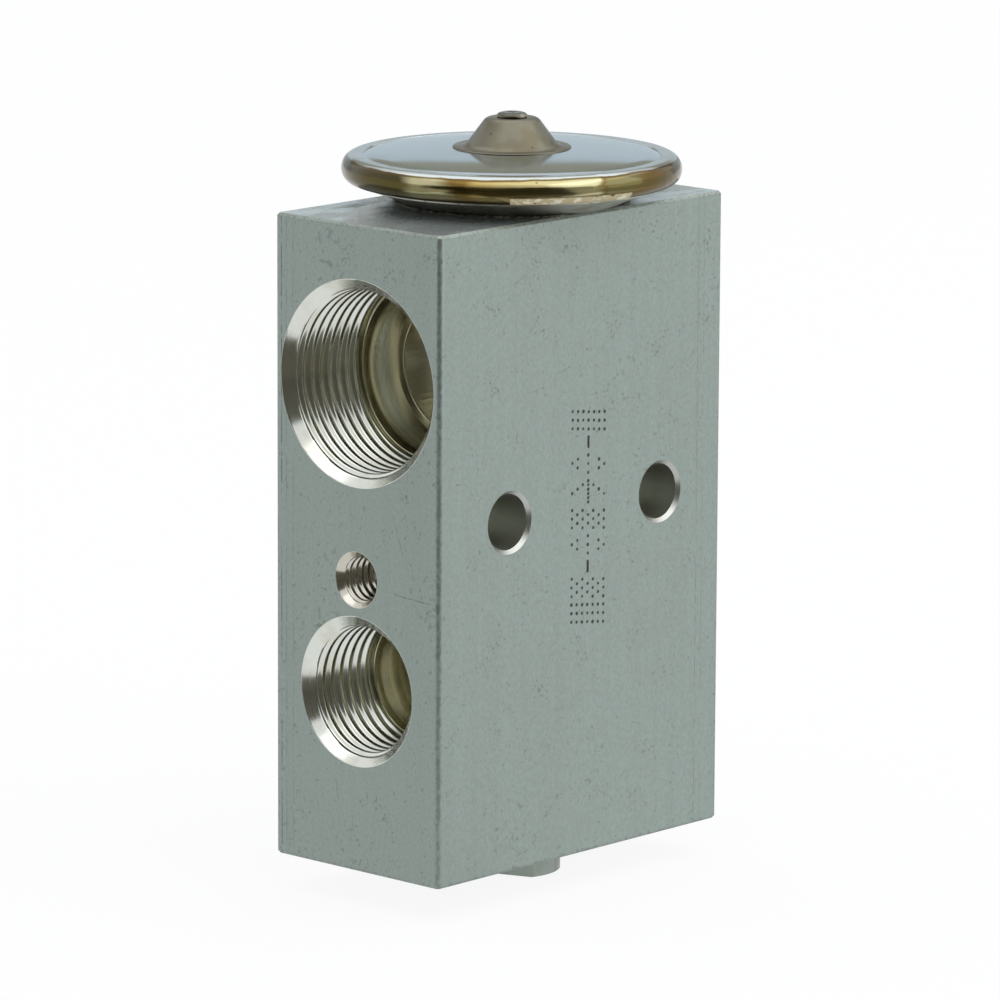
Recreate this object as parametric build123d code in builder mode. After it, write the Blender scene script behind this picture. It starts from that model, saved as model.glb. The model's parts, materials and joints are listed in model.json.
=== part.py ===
from build123d import *
import os
from math import cos, pi, radians, sin, sqrt, tan

# A block-type thermostatic expansion valve, in millimetres.
# The origin is at the centre of the valve's footprint, level with the lower end of the
# adjusting screw. +Z runs up the stem, and the threaded ports open on the -X and +X faces.
# Radii are of finished walls. Tapped holes are bored plain, at their threads' major radius.

# ---------------------------------------------------------------- clearances
RUNNING_CLEARANCE = 0.05  # radial, round a piece that slides or turns
SEAL_CLEARANCE = 0.02     # round a seal
SEAT_GAP = 0.03           # between the ball and the cone it closes on
END_GAP = 0.1             # left at the end of a piece's travel

# ---------------------------------------------------------------- block
BLOCK_LENGTH = 47.5       # from one port face to the other
SIDE_WALL = 1.5875        # beside the suction ports' threads
TOP_WALL = 18.0           # from the suction passage's axis up to the block's top
CORNER_RADIUS = 0.6       # of the extrusion's four upright edges
EDGE_BREAK = 0.3          # round both sawn ends
STEM_OFFSET = 1.7         # the stem axis lies this far towards +X from the block's middle

# ---------------------------------------------------------------- ports
INLET_HEIGHT = 20.8       # liquid inlet's axis above the block's underside
OUTLET_RISE = 6.8         # liquid outlet's axis above the inlet's
PORT_SPACING = 35.2       # suction passage's axis above the liquid inlet's
PORT_FLARE = 0.72         # how far each port's mouth is chamfered past its thread

SUCTION_THREAD = 22.225   # 7/8-18 thread, major diameter
SUCTION_THREAD_DEPTH = 11.4
SUCTION_DRILL_STEP = 1.1  # the bore under the thread is this much smaller in radius
SUCTION_RELIEF = 1.5      # length of that bore past the thread
SUCTION_SEAT_STEP = 0.6   # cone that the joint's seal sits on
SUCTION_PILOT_LENGTH = 2.1
SUCTION_PILOT_STEP = 0.95  # the pilot's inner end is this much wider than the passage
PASSAGE_RADIUS = 7.55

LIQUID_THREAD = 15.875    # 5/8-18 thread, major diameter
LIQUID_THREAD_DEPTH = 10.2
LIQUID_DRILL_STEP = 1.0
LIQUID_RELIEF = 1.2
LIQUID_SEAT_STEP = 0.5
LIQUID_PILOT_TAPER = 0.3
INLET_PILOT_LENGTH = 4.6
OUTLET_PILOT_LENGTH = 1.6
FEED_RADIUS = 2.6         # from the liquid inlet to the ball's chamber
DRILL_POINT_ANGLE = 59.0  # half the point angle of every drill
DRILL_WEB = 0.2           # radius of a drill's blunt tip
CROSS_RADIUS = 3.0        # from above the seat to the liquid outlet
CROSS_RISE = 1.6          # its axis above the liquid outlet's

# ---------------------------------------------------------------- fixing holes
CLAMP_THREAD = 6.0        # M6 for the pipe plate's screw, between the two -X ports
CLAMP_RISE = 12.85        # its axis above the liquid inlet's
CLAMP_THREAD_DEPTH = 8.0
CLAMP_DRILL_STEP = 0.5    # the drilled hole is this much smaller in radius
CLAMP_RELIEF = 1.0        # and this much deeper than the thread
CLAMP_FLARE = 0.25
BOLT_RISE = 19.5          # bolt holes' axes above the liquid inlet's
BOLT_SPACING = 25.4
BOLT_OFFSET = 0.5         # the pair's middle lies this far towards +X
BOLT_HOLE = 6.4
BOLT_FLARE = 0.42

# ---------------------------------------------------------------- adjusting screw
SCREW_PROJECTION = 4.0    # how far the screw stands out of the block
SCREW_THREAD = 12.0
SCREW_BORE_DEPTH = 6.3    # length of its thread in the block
SCREW_TRAVEL = 1.0        # each way
SCREW_FLATS = 8.0         # across the two wrench flats
SCREW_FLATS_ANGLE = 21.0  # how far they are turned from facing +X and -X
SCREW_FLATS_LENGTH = 3.4
NOSE_GAP = 0.2            # between the screw's nose and the chamber wall
NOSE_LENGTH = 5.1         # above the shoulder
NOSE_RING = 1.1           # solid ring above the seal groove
SCREW_SEAL_SECTION = 1.36
SCREW_GROOVE_PLAY = 0.34  # the seal groove's width past its seal's
SPIGOT_LENGTH = 1.5

# ---------------------------------------------------------------- ball, seat and spring
CHAMBER_STEP = 0.5        # the chamber is this much smaller in radius than the screw
CHAMBER_ROOF = 2.8        # above the liquid inlet's axis
SEAT_RADIUS = 3.6
SEAT_HEIGHT = 2.0
ORIFICE_RADIUS = 1.25
SEAT_CONE = 1.0           # the 90 degree cone widens the orifice by this much
SEAT_BORE_RADIUS = 2.2    # the block's bore above the seat
BALL_RADIUS = 2.0
CUP_DEPTH = 0.9
CARRIER_PLAY = 1.1        # between the carrier and the chamber wall
CARRIER_THICKNESS = 1.5
CARRIER_SPIGOT = 2.0
SHEET_THICKNESS = 0.3     # of the anti-vibration spring
FINGER_COUNT = 3
FINGER_ANGLE = 34.0
FINGER_HEIGHT = 2.2
SPRING_RADIUS = 3.3       # to the middle of the wire
WIRE_RADIUS = 0.55
SPRING_TURNS = 5
SPRING_GRIND = 0.25       # how much of the wire stays below its middle at each end
SPRING_PLAY = 0.2

# ---------------------------------------------------------------- rods
STEM_TRAVEL = 0.8
PUSH_ROD_RADIUS = 1.2
PUSH_ROD_TIP_RADIUS = 0.85
PUSH_ROD_SHOULDER_GAP = 0.2  # from its shoulder to the seat, fully open
ROD_SOCKET_DEPTH = 5.0    # push rod's length inside the sensing rod
SENSING_ROD_RADIUS = 2.6
SENSING_ROD_GAP = 0.75    # from its foot to the suction passage's floor, fully open
SENSING_ROD_CHAMFER = 0.4
ROD_POCKET_RADIUS = 2.9
ROD_POCKET_DEPTH = 3.45   # below the suction passage's floor
RETAINER_THICKNESS = 0.5
RETAINER_RING = 0.5       # width of the clip's ring
RETAINER_TEETH = 6
RETAINER_PLAY = 0.2       # between the clip and the push rod
RETAINER_GAP = 0.15       # between the clip and the seal

# ---------------------------------------------------------------- power head
NECK_RADIUS = 9.0
NECK_WALL = 2.2
NECK_LENGTH = 5.6
NECK_END_GAP = 1.0        # under the neck, in the block
STEM_HOLE_RADIUS = 4.0    # from the head's bore down to the suction passage
HEAD_SEAL_SECTION = 1.24
HEAD_GROOVE_PLAY = 0.31   # the seal groove's width past its seal's
BASE_RADIUS = 12.6        # where the lower cover rests on the block
COVER_RADIUS = 17.4       # both covers' edges, inside the weld
COVER_RISE = 1.9          # height of the lower cover's slope
COVER_BULGE = 0.1         # how far that slope rises past a straight one
CLAMP_LAND = 3.4          # ring of each cover that clamps the diaphragm
DIAPHRAGM_HEIGHT = 4.0    # its underside above the block's top
DIAPHRAGM_THICKNESS = 0.2
DIAPHRAGM_SPAN = 3.5      # its waved ring, between the support and the clamped edge
DIAPHRAGM_WAVES = 2
DIAPHRAGM_WAVE_HEIGHT = 0.25
COVER_RIM = 1.1           # from the diaphragm to the weld's flat top
WELD_REACH = 2.0          # the weld's widest, past the covers' edges
WELD_FOOT_GAP = 0.3       # from the lower cover's slope up to the weld
BEAD_RADIUS = 1.5
BEAD_DROP = 0.05          # the bead's middle below the upper cover's seam
BEAD_LOWER_ANGLE = 60.0
SEAM_INSET = 0.55         # the weld's flat top covers this much of the upper cover
SEAM_STEP = 0.3
CROWN_RISE = 0.8          # the upper cover's middle above its edge
UPPER_COVER_WALL = 0.9
SUPPORT_THICKNESS = 1.6
SUPPORT_FLOAT = 0.2       # from its underside to the lower cover's floor, fully open
HUB_RADIUS = 4.2
HUB_LENGTH = 2.2
CAP_FOOT_RADIUS = 6.75
CAP_FOOT_THICKNESS = 0.3
CAP_HEIGHT = 3.45
CAP_FLANGE = 1.35         # width of the foot outside the cone
CAP_TOP_RADIUS = 2.95
CAP_WALL = 0.8
CAP_FOOT_FILLET = 1.3
CAP_TOP_FILLET = 1.0
CHARGE_HOLE_RADIUS = 0.9
PLUG_RADIUS = 1.74
PLUG_HEIGHT = 0.55
PLUG_SHANK = 1.2
PLUG_CHAMFER = 0.15
COMPOUND_WIDTH = 1.0      # sealing compound, round the head's base
COMPOUND_BEVEL = 0.15
COMPOUND_INSET = 0.1      # it stops this short of the block's broken edges

# ---------------------------------------------------------------- levels
BLOCK_BOTTOM = SCREW_PROJECTION
INLET_LEVEL = BLOCK_BOTTOM + INLET_HEIGHT
OUTLET_LEVEL = INLET_LEVEL + OUTLET_RISE
CROSS_LEVEL = OUTLET_LEVEL + CROSS_RISE
CLAMP_LEVEL = INLET_LEVEL + CLAMP_RISE
BOLT_LEVEL = INLET_LEVEL + BOLT_RISE
SUCTION_LEVEL = INLET_LEVEL + PORT_SPACING
BLOCK_TOP = SUCTION_LEVEL + TOP_WALL
BLOCK_HEIGHT = BLOCK_TOP - BLOCK_BOTTOM
BLOCK_THICKNESS = SUCTION_THREAD + 2 * SIDE_WALL
PASSAGE_FLOOR = SUCTION_LEVEL - PASSAGE_RADIUS

CHAMBER_RADIUS = SCREW_THREAD / 2 - CHAMBER_STEP
CARRIER_RADIUS = CHAMBER_RADIUS - CARRIER_PLAY
SCREW_SHOULDER = BLOCK_BOTTOM + SCREW_BORE_DEPTH - SCREW_TRAVEL - END_GAP
NOSE_TOP = SCREW_SHOULDER + CHAMBER_STEP + NOSE_GAP + NOSE_LENGTH
SCREW_GROOVE_TOP = NOSE_TOP - NOSE_RING
SCREW_GROOVE_BOTTOM = SCREW_GROOVE_TOP - SCREW_SEAL_SECTION - SCREW_GROOVE_PLAY

SEAT_LEVEL = INLET_LEVEL + CHAMBER_ROOF
SEAT_TOP = SEAT_LEVEL + SEAT_HEIGHT
SEAT_MOUTH_RADIUS = ORIFICE_RADIUS + SEAT_CONE
BALL_LEVEL = SEAT_LEVEL + SEAT_MOUTH_RADIUS - sqrt(2) * (BALL_RADIUS + SEAT_GAP)
CARRIER_TOP = BALL_LEVEL - BALL_RADIUS + CUP_DEPTH
CARRIER_BOTTOM = CARRIER_TOP - CARRIER_THICKNESS
SHEET_BOTTOM = CARRIER_BOTTOM - SHEET_THICKNESS
SPIGOT_RADIUS = SPRING_RADIUS - WIRE_RADIUS - SPRING_PLAY

ROD_FOOT = BALL_LEVEL + BALL_RADIUS + SEAL_CLEARANCE
ROD_SHOULDER = SEAT_TOP + STEM_TRAVEL + PUSH_ROD_SHOULDER_GAP
SENSING_ROD_FOOT = PASSAGE_FLOOR + STEM_TRAVEL + SENSING_ROD_GAP
POCKET_FLOOR = PASSAGE_FLOOR - ROD_POCKET_DEPTH
GUIDE_RADIUS = PUSH_ROD_RADIUS + RUNNING_CLEARANCE

SUPPORT_TOP = BLOCK_TOP + DIAPHRAGM_HEIGHT
SUPPORT_BOTTOM = SUPPORT_TOP - SUPPORT_THICKNESS
RECESS_FLOOR = SUPPORT_BOTTOM - STEM_TRAVEL - SUPPORT_FLOAT
COVER_SEAM = SUPPORT_TOP + DIAPHRAGM_THICKNESS
RIM_LEVEL = COVER_SEAM + COVER_RIM
CROWN_LEVEL = RIM_LEVEL + CROWN_RISE
NECK_BORE = NECK_RADIUS - NECK_WALL
RECESS_RADIUS = COVER_RADIUS - CLAMP_LAND
SUPPORT_RADIUS = RECESS_RADIUS - DIAPHRAGM_SPAN
SEAM_RADIUS = COVER_RADIUS - SEAM_INSET
CAP_WAIST_RADIUS = CAP_FOOT_RADIUS - CAP_FLANGE

STEM_AXIS = Axis((STEM_OFFSET, 0, 0), (0, 0, 1))


# ---------------------------------------------------------------- shared shapes
def stem_plane(angle=0.0):
    """A plane through the stem axis: x is the distance from that axis and y is the level."""
    turn = radians(angle)
    return Plane(
        origin=(STEM_OFFSET, 0, 0),
        x_dir=(cos(turn), sin(turn), 0),
        z_dir=(sin(turn), -cos(turn), 0),
    )


def turn_outline(points, mode=Mode.ADD):
    """Revolve a closed outline of (radius, level) points about the stem axis."""
    with BuildSketch(stem_plane()) as outline:
        with BuildLine():
            Polyline(*points, close=True)
        make_face()
    revolve(outline.sketch, axis=STEM_AXIS, mode=mode)


def turn_seal(radius, level, section):
    """Revolve an O-ring's round section about the stem axis."""
    with BuildSketch(stem_plane()) as ring:
        with Locations((radius, level)):
            Circle(section / 2)
    revolve(ring.sketch, axis=STEM_AXIS)


def cut_port(side, level, steps):
    """Bore a stepped port into the block from the end face on one side, -1 or 1.

    steps holds (depth below the face, radius) pairs, from the mouth inwards.
    """
    face = side * BLOCK_LENGTH / 2
    wall = [(face - side * depth, level + radius) for depth, radius in steps]
    with BuildSketch(Plane.XZ) as bore:
        with BuildLine():
            Polyline((face, level), *wall, (wall[-1][0], level), close=True)
        make_face()
    revolve(bore.sketch, axis=Axis((0, 0, level), (1, 0, 0)), mode=Mode.SUBTRACT)


def port_steps(thread, thread_depth, drill_step, relief, seat_step):
    """The mouth, thread and seal seat that every port has, as steps for cut_port."""
    radius = thread / 2
    bore = radius - drill_step
    drill_depth = thread_depth + relief
    return [
        (0, radius + PORT_FLARE),
        (PORT_FLARE, radius),
        (thread_depth, radius),
        (thread_depth, bore),
        (drill_depth, bore),
        (drill_depth + seat_step, bore - seat_step),
    ]


def suction_steps():
    """A suction port, down to the passage that joins both of them."""
    steps = port_steps(
        SUCTION_THREAD,
        SUCTION_THREAD_DEPTH,
        SUCTION_DRILL_STEP,
        SUCTION_RELIEF,
        SUCTION_SEAT_STEP,
    )
    pilot_depth = steps[-1][0] + SUCTION_PILOT_LENGTH
    return steps + [
        (pilot_depth, PASSAGE_RADIUS + SUCTION_PILOT_STEP),
        (pilot_depth, PASSAGE_RADIUS),
        (BLOCK_LENGTH / 2, PASSAGE_RADIUS),
    ]


def liquid_steps(pilot_length):
    """A liquid port, down to the end of its slightly tapered pilot bore."""
    steps = port_steps(
        LIQUID_THREAD,
        LIQUID_THREAD_DEPTH,
        LIQUID_DRILL_STEP,
        LIQUID_RELIEF,
        LIQUID_SEAT_STEP,
    )
    seat_depth, seat_radius = steps[-1]
    return steps + [(seat_depth + pilot_length, seat_radius - LIQUID_PILOT_TAPER)]


def crown(radius):
    """Level of the upper cover's domed top at a distance from the stem axis."""
    return CROWN_LEVEL - CROWN_RISE * (radius / SEAM_RADIUS) ** 2


# ---------------------------------------------------------------- valve body
# Bores round the stem axis, from the block's underside to its top, as one stepped outline.
screw_bore = SCREW_THREAD / 2 + RUNNING_CLEARANCE
screw_bore_top = BLOCK_BOTTOM + SCREW_BORE_DEPTH
neck_bore = NECK_RADIUS + RUNNING_CLEARANCE
head_bore_floor = BLOCK_TOP - NECK_LENGTH - NECK_END_GAP
head_groove_radius = neck_bore + HEAD_SEAL_SECTION + HEAD_GROOVE_PLAY
head_groove_floor = BLOCK_TOP - HEAD_SEAL_SECTION - 3 * SEAL_CLEARANCE
stem_bores = [
    (0, BLOCK_BOTTOM),
    (screw_bore, BLOCK_BOTTOM),
    (screw_bore, screw_bore_top),
    (CHAMBER_RADIUS, screw_bore_top + screw_bore - CHAMBER_RADIUS),
    (CHAMBER_RADIUS, SEAT_LEVEL),
    (SEAT_RADIUS, SEAT_LEVEL),
    (SEAT_RADIUS, SEAT_TOP),
    (SEAT_BORE_RADIUS, SEAT_TOP),
    (SEAT_BORE_RADIUS, CROSS_LEVEL),
    (GUIDE_RADIUS, CROSS_LEVEL),
    (GUIDE_RADIUS, POCKET_FLOOR),
    (ROD_POCKET_RADIUS, POCKET_FLOOR),
    (ROD_POCKET_RADIUS, SUCTION_LEVEL),
    (STEM_HOLE_RADIUS, SUCTION_LEVEL),
    (STEM_HOLE_RADIUS, head_bore_floor),
    (neck_bore, head_bore_floor),
    (neck_bore, head_groove_floor),
    (head_groove_radius, head_groove_floor),
    (head_groove_radius, BLOCK_TOP),
    (0, BLOCK_TOP),
]

with BuildPart() as valve_body:
    with BuildSketch(Plane.XY.offset(BLOCK_BOTTOM)):
        RectangleRounded(BLOCK_LENGTH, BLOCK_THICKNESS, CORNER_RADIUS)
    extrude(amount=BLOCK_HEIGHT)
    ends = valve_body.faces().sort_by(Axis.Z)
    chamfer(ends[0].edges() + ends[-1].edges(), length=EDGE_BREAK)

    # suction passage, with a port at each end
    cut_port(-1, SUCTION_LEVEL, suction_steps())
    cut_port(1, SUCTION_LEVEL, suction_steps())

    # liquid inlet, with the feed hole that its drill leads into the ball's chamber
    inlet_steps = liquid_steps(INLET_PILOT_LENGTH)
    pilot_depth, pilot_radius = inlet_steps[-1]
    cone_depth = (pilot_radius - FEED_RADIUS) / tan(radians(DRILL_POINT_ANGLE))
    inlet_steps += [
        (pilot_depth + cone_depth, FEED_RADIUS),
        (BLOCK_LENGTH / 2 + STEM_OFFSET, FEED_RADIUS),
    ]
    cut_port(-1, INLET_LEVEL, inlet_steps)

    # liquid outlet, and the cross hole that reaches it from above the seat
    outlet_steps = liquid_steps(OUTLET_PILOT_LENGTH)
    cut_port(1, OUTLET_LEVEL, outlet_steps)
    with BuildSketch(Plane.YZ.offset(STEM_OFFSET)):
        with Locations((0, CROSS_LEVEL)):
            Circle(CROSS_RADIUS)
    extrude(
        amount=BLOCK_LENGTH / 2 - STEM_OFFSET - outlet_steps[-1][0],
        mode=Mode.SUBTRACT,
    )

    # tapped hole for the pipe plate's screw
    clamp_radius = CLAMP_THREAD / 2
    clamp_drill = clamp_radius - CLAMP_DRILL_STEP
    drill_depth = CLAMP_THREAD_DEPTH + CLAMP_RELIEF
    tip_depth = (clamp_drill - DRILL_WEB) / tan(radians(DRILL_POINT_ANGLE))
    cut_port(
        -1,
        CLAMP_LEVEL,
        [
            (0, clamp_radius + CLAMP_FLARE),
            (CLAMP_FLARE, clamp_radius),
            (CLAMP_THREAD_DEPTH, clamp_radius),
            (CLAMP_THREAD_DEPTH, clamp_drill),
            (drill_depth, clamp_drill),
            (drill_depth + tip_depth, DRILL_WEB),
        ],
    )

    # bolt holes, flared at both wide faces
    with BuildSketch(Plane.XZ):
        with Locations((BOLT_OFFSET, BOLT_LEVEL)):
            with GridLocations(BOLT_SPACING, 1, 2, 1):
                Circle(BOLT_HOLE / 2)
    extrude(amount=BLOCK_THICKNESS, both=True, mode=Mode.SUBTRACT)
    for side in (-1, 1):
        rims = (
            valve_body.faces()
            .filter_by(Axis.Y)
            .sort_by(Axis.Y)[-1 if side > 0 else 0]
            .edges()
            .filter_by(GeomType.CIRCLE)
        )
        chamfer(rims, length=BOLT_FLARE)

    turn_outline(stem_bores, mode=Mode.SUBTRACT)

# ---------------------------------------------------------------- power head
with BuildPart() as lower_cover:
    neck_foot = BLOCK_TOP - NECK_LENGTH
    with BuildSketch(stem_plane()):
        with BuildLine():
            base_end = (BASE_RADIUS, BLOCK_TOP)
            slope_end = (COVER_RADIUS, BLOCK_TOP + COVER_RISE)
            middle = (
                (BASE_RADIUS + COVER_RADIUS) / 2,
                BLOCK_TOP + COVER_RISE / 2 + COVER_BULGE,
            )
            Polyline(
                (NECK_BORE, neck_foot),
                (NECK_RADIUS, neck_foot),
                (NECK_RADIUS, BLOCK_TOP),
                base_end,
            )
            ThreePointArc(base_end, middle, slope_end)
            Polyline(
                slope_end,
                (COVER_RADIUS, SUPPORT_TOP),
                (RECESS_RADIUS, SUPPORT_TOP),
                (RECESS_RADIUS, RECESS_FLOOR),
                (NECK_BORE, RECESS_FLOOR),
                (NECK_BORE, neck_foot),
            )
        make_face()
    revolve(axis=STEM_AXIS)

with BuildPart() as diaphragm:
    # flat in the middle and where it is clamped, with pressed rings between
    quarter_wave = DIAPHRAGM_SPAN / DIAPHRAGM_WAVES / 4
    crests = [
        (SUPPORT_RADIUS + i * quarter_wave, DIAPHRAGM_WAVE_HEIGHT * sin(i * pi / 2))
        for i in range(4 * DIAPHRAGM_WAVES + 1)
        if i % 2 == 1 or i in (0, 4 * DIAPHRAGM_WAVES)
    ]
    turn_outline(
        [
            (0, SUPPORT_TOP),
            *[(radius, SUPPORT_TOP + rise) for radius, rise in crests],
            (COVER_RADIUS, SUPPORT_TOP),
            (COVER_RADIUS, COVER_SEAM),
            *[(radius, COVER_SEAM + rise) for radius, rise in reversed(crests)],
            (0, COVER_SEAM),
        ]
    )

with BuildPart() as upper_cover:
    with BuildSketch(stem_plane()):
        with BuildLine():
            crown_end = (SEAM_RADIUS, crown(SEAM_RADIUS))
            crown_middle = (SEAM_RADIUS / 2, crown(SEAM_RADIUS / 2))
            crown_start = (CHARGE_HOLE_RADIUS, crown(CHARGE_HOLE_RADIUS))
            ceiling_end = (RECESS_RADIUS, COVER_SEAM)
            ceiling_bend = (
                RECESS_RADIUS - UPPER_COVER_WALL,
                crown(RECESS_RADIUS) - UPPER_COVER_WALL,
            )
            ThreePointArc(crown_start, crown_middle, crown_end)
            Polyline(
                crown_end,
                (SEAM_RADIUS, RIM_LEVEL - SEAM_STEP),
                (COVER_RADIUS, RIM_LEVEL - SEAM_STEP),
                (COVER_RADIUS, COVER_SEAM),
                ceiling_end,
                ceiling_bend,
                (CHARGE_HOLE_RADIUS, crown(CHARGE_HOLE_RADIUS) - UPPER_COVER_WALL),
                crown_start,
            )
        make_face()
    revolve(axis=STEM_AXIS)

with BuildPart() as rim_weld:
    # a round bead outside both covers' edges, melted flat over the upper one
    rim_radius = COVER_RADIUS + WELD_REACH
    bead_centre = rim_radius - BEAD_RADIUS
    bead_level = COVER_SEAM - BEAD_DROP
    lower_turn = radians(BEAD_LOWER_ANGLE)
    with BuildSketch(stem_plane()):
        with BuildLine():
            flat_end = (
                bead_centre + sqrt(BEAD_RADIUS**2 - (RIM_LEVEL - bead_level) ** 2),
                RIM_LEVEL,
            )
            bead_end = (
                bead_centre + BEAD_RADIUS * cos(lower_turn),
                bead_level - BEAD_RADIUS * sin(lower_turn),
            )
            weld_foot = (COVER_RADIUS, BLOCK_TOP + COVER_RISE + WELD_FOOT_GAP)
            ThreePointArc(flat_end, (rim_radius, bead_level), bead_end)
            Polyline(
                bead_end,
                weld_foot,
                (COVER_RADIUS, RIM_LEVEL - SEAM_STEP),
                (SEAM_RADIUS, RIM_LEVEL - SEAM_STEP),
                (SEAM_RADIUS, RIM_LEVEL),
                flat_end,
            )
        make_face()
    revolve(axis=STEM_AXIS)

with BuildPart() as charging_cap:
    # a thin bell, its cone blended into a flat foot and a flat top
    cap_foot = crown(CAP_WAIST_RADIUS - CAP_WALL)
    foot_top = cap_foot + CAP_FOOT_THICKNESS
    cap_top = cap_foot + CAP_HEIGHT
    cone_slope = (CAP_WAIST_RADIUS - CAP_TOP_RADIUS) / (cap_top - foot_top)
    wall_across = CAP_WALL * sqrt(1 + cone_slope**2)
    ceiling = cap_top - CAP_WALL
    inner_foot = CAP_WAIST_RADIUS + cone_slope * CAP_FOOT_THICKNESS - wall_across
    inner_top = CAP_TOP_RADIUS + cone_slope * CAP_WALL - wall_across
    with BuildSketch(stem_plane()) as bell:
        with BuildLine():
            Polyline(
                (inner_foot, cap_foot),
                (CAP_FOOT_RADIUS, cap_foot),
                (CAP_FOOT_RADIUS, foot_top),
                (CAP_WAIST_RADIUS, foot_top),
                (CAP_TOP_RADIUS, cap_top),
                (CHARGE_HOLE_RADIUS, cap_top),
                (CHARGE_HOLE_RADIUS, ceiling),
                (inner_top, ceiling),
                close=True,
            )
        make_face()
        fillet(bell.vertices().sort_by_distance((CAP_WAIST_RADIUS, foot_top))[0], CAP_FOOT_FILLET)
        fillet(bell.vertices().sort_by_distance((CAP_TOP_RADIUS, cap_top))[0], CAP_TOP_FILLET)
    revolve(axis=STEM_AXIS)

with BuildPart() as charge_plug:
    turn_outline(
        [
            (0, cap_top - PLUG_SHANK),
            (CHARGE_HOLE_RADIUS, cap_top - PLUG_SHANK),
            (CHARGE_HOLE_RADIUS, cap_top),
            (PLUG_RADIUS, cap_top),
            (PLUG_RADIUS, cap_top + PLUG_HEIGHT - PLUG_CHAMFER),
            (PLUG_RADIUS - PLUG_CHAMFER, cap_top + PLUG_HEIGHT),
            (0, cap_top + PLUG_HEIGHT),
        ]
    )

with BuildPart() as head_seal:
    turn_seal(
        (neck_bore + head_groove_radius) / 2,
        BLOCK_TOP - HEAD_SEAL_SECTION / 2 - SEAL_CLEARANCE,
        HEAD_SEAL_SECTION,
    )

with BuildPart() as sealing_compound:
    # a wedge at the foot of the lower cover's slope, left off past the block's edges
    compound_edge = BASE_RADIUS + COMPOUND_WIDTH
    compound_reach = COMPOUND_WIDTH - COMPOUND_BEVEL
    compound_height = compound_reach * COVER_RISE / (COVER_RADIUS - BASE_RADIUS)
    turn_outline(
        [
            (BASE_RADIUS, BLOCK_TOP),
            (compound_edge, BLOCK_TOP),
            (BASE_RADIUS + compound_reach, BLOCK_TOP + compound_height),
        ]
    )
    with BuildSketch(Plane.XY.offset(BLOCK_TOP)):
        with Locations((STEM_OFFSET, 0)):
            Rectangle(
                3 * compound_edge,
                BLOCK_THICKNESS - 2 * (EDGE_BREAK + COMPOUND_INSET),
            )
    extrude(amount=compound_height, mode=Mode.INTERSECT)

# ---------------------------------------------------------------- sensing stem
with BuildPart() as diaphragm_support:
    hub_foot = SUPPORT_BOTTOM - HUB_LENGTH
    turn_outline(
        [
            (0, SUPPORT_BOTTOM),
            (SENSING_ROD_RADIUS, SUPPORT_BOTTOM),
            (SENSING_ROD_RADIUS, hub_foot),
            (HUB_RADIUS, hub_foot),
            (HUB_RADIUS, SUPPORT_BOTTOM),
            (SUPPORT_RADIUS, SUPPORT_BOTTOM),
            (SUPPORT_RADIUS, SUPPORT_TOP),
            (0, SUPPORT_TOP),
        ]
    )
    rims = diaphragm_support.edges().filter_by(GeomType.CIRCLE).group_by(SortBy.RADIUS)[-1]
    fillet(rims, SUPPORT_THICKNESS / 4)

with BuildPart() as sensing_rod:
    turn_outline(
        [
            (PUSH_ROD_RADIUS, SENSING_ROD_FOOT),
            (SENSING_ROD_RADIUS - SENSING_ROD_CHAMFER, SENSING_ROD_FOOT),
            (SENSING_ROD_RADIUS, SENSING_ROD_FOOT + SENSING_ROD_CHAMFER),
            (SENSING_ROD_RADIUS, SUPPORT_BOTTOM),
            (0, SUPPORT_BOTTOM),
            (0, SENSING_ROD_FOOT + ROD_SOCKET_DEPTH),
            (PUSH_ROD_RADIUS, SENSING_ROD_FOOT + ROD_SOCKET_DEPTH),
        ]
    )

with BuildPart() as push_rod:
    turn_outline(
        [
            (0, ROD_FOOT),
            (PUSH_ROD_TIP_RADIUS, ROD_FOOT),
            (PUSH_ROD_TIP_RADIUS, ROD_SHOULDER),
            (PUSH_ROD_RADIUS, ROD_SHOULDER + PUSH_ROD_RADIUS - PUSH_ROD_TIP_RADIUS),
            (PUSH_ROD_RADIUS, SENSING_ROD_FOOT + ROD_SOCKET_DEPTH),
            (0, SENSING_ROD_FOOT + ROD_SOCKET_DEPTH),
        ]
    )

rod_seal_inner = PUSH_ROD_RADIUS + RUNNING_CLEARANCE / 2
rod_seal_section = ROD_POCKET_RADIUS - RUNNING_CLEARANCE - rod_seal_inner
rod_seal_top = POCKET_FLOOR + SEAL_CLEARANCE + rod_seal_section

with BuildPart() as rod_seal:
    turn_seal(
        rod_seal_inner + rod_seal_section / 2,
        rod_seal_top - rod_seal_section / 2,
        rod_seal_section,
    )

with BuildPart() as rod_seal_retainer:
    # a push-in clip: a flat ring whose square teeth bite the pocket's wall
    ring_inner = PUSH_ROD_RADIUS + RETAINER_PLAY
    ring_outer = ring_inner + RETAINER_RING
    tooth_width = pi * ring_outer / RETAINER_TEETH
    with BuildSketch(Plane.XY.offset(rod_seal_top + RETAINER_GAP)):
        with Locations((STEM_OFFSET, 0)):
            Circle(ROD_POCKET_RADIUS - SEAL_CLEARANCE)
            with PolarLocations((ring_outer + ROD_POCKET_RADIUS) / 2, RETAINER_TEETH):
                Rectangle(ROD_POCKET_RADIUS - ring_outer, tooth_width, mode=Mode.SUBTRACT)
            Circle(ring_inner, mode=Mode.SUBTRACT)
    extrude(amount=RETAINER_THICKNESS)

# ---------------------------------------------------------------- seat, ball and springs
with BuildPart() as valve_seat:
    turn_outline(
        [
            (SEAT_MOUTH_RADIUS, SEAT_LEVEL),
            (SEAT_RADIUS, SEAT_LEVEL),
            (SEAT_RADIUS, SEAT_TOP),
            (ORIFICE_RADIUS, SEAT_TOP),
            (ORIFICE_RADIUS, SEAT_LEVEL + SEAT_CONE),
        ]
    )

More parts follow.
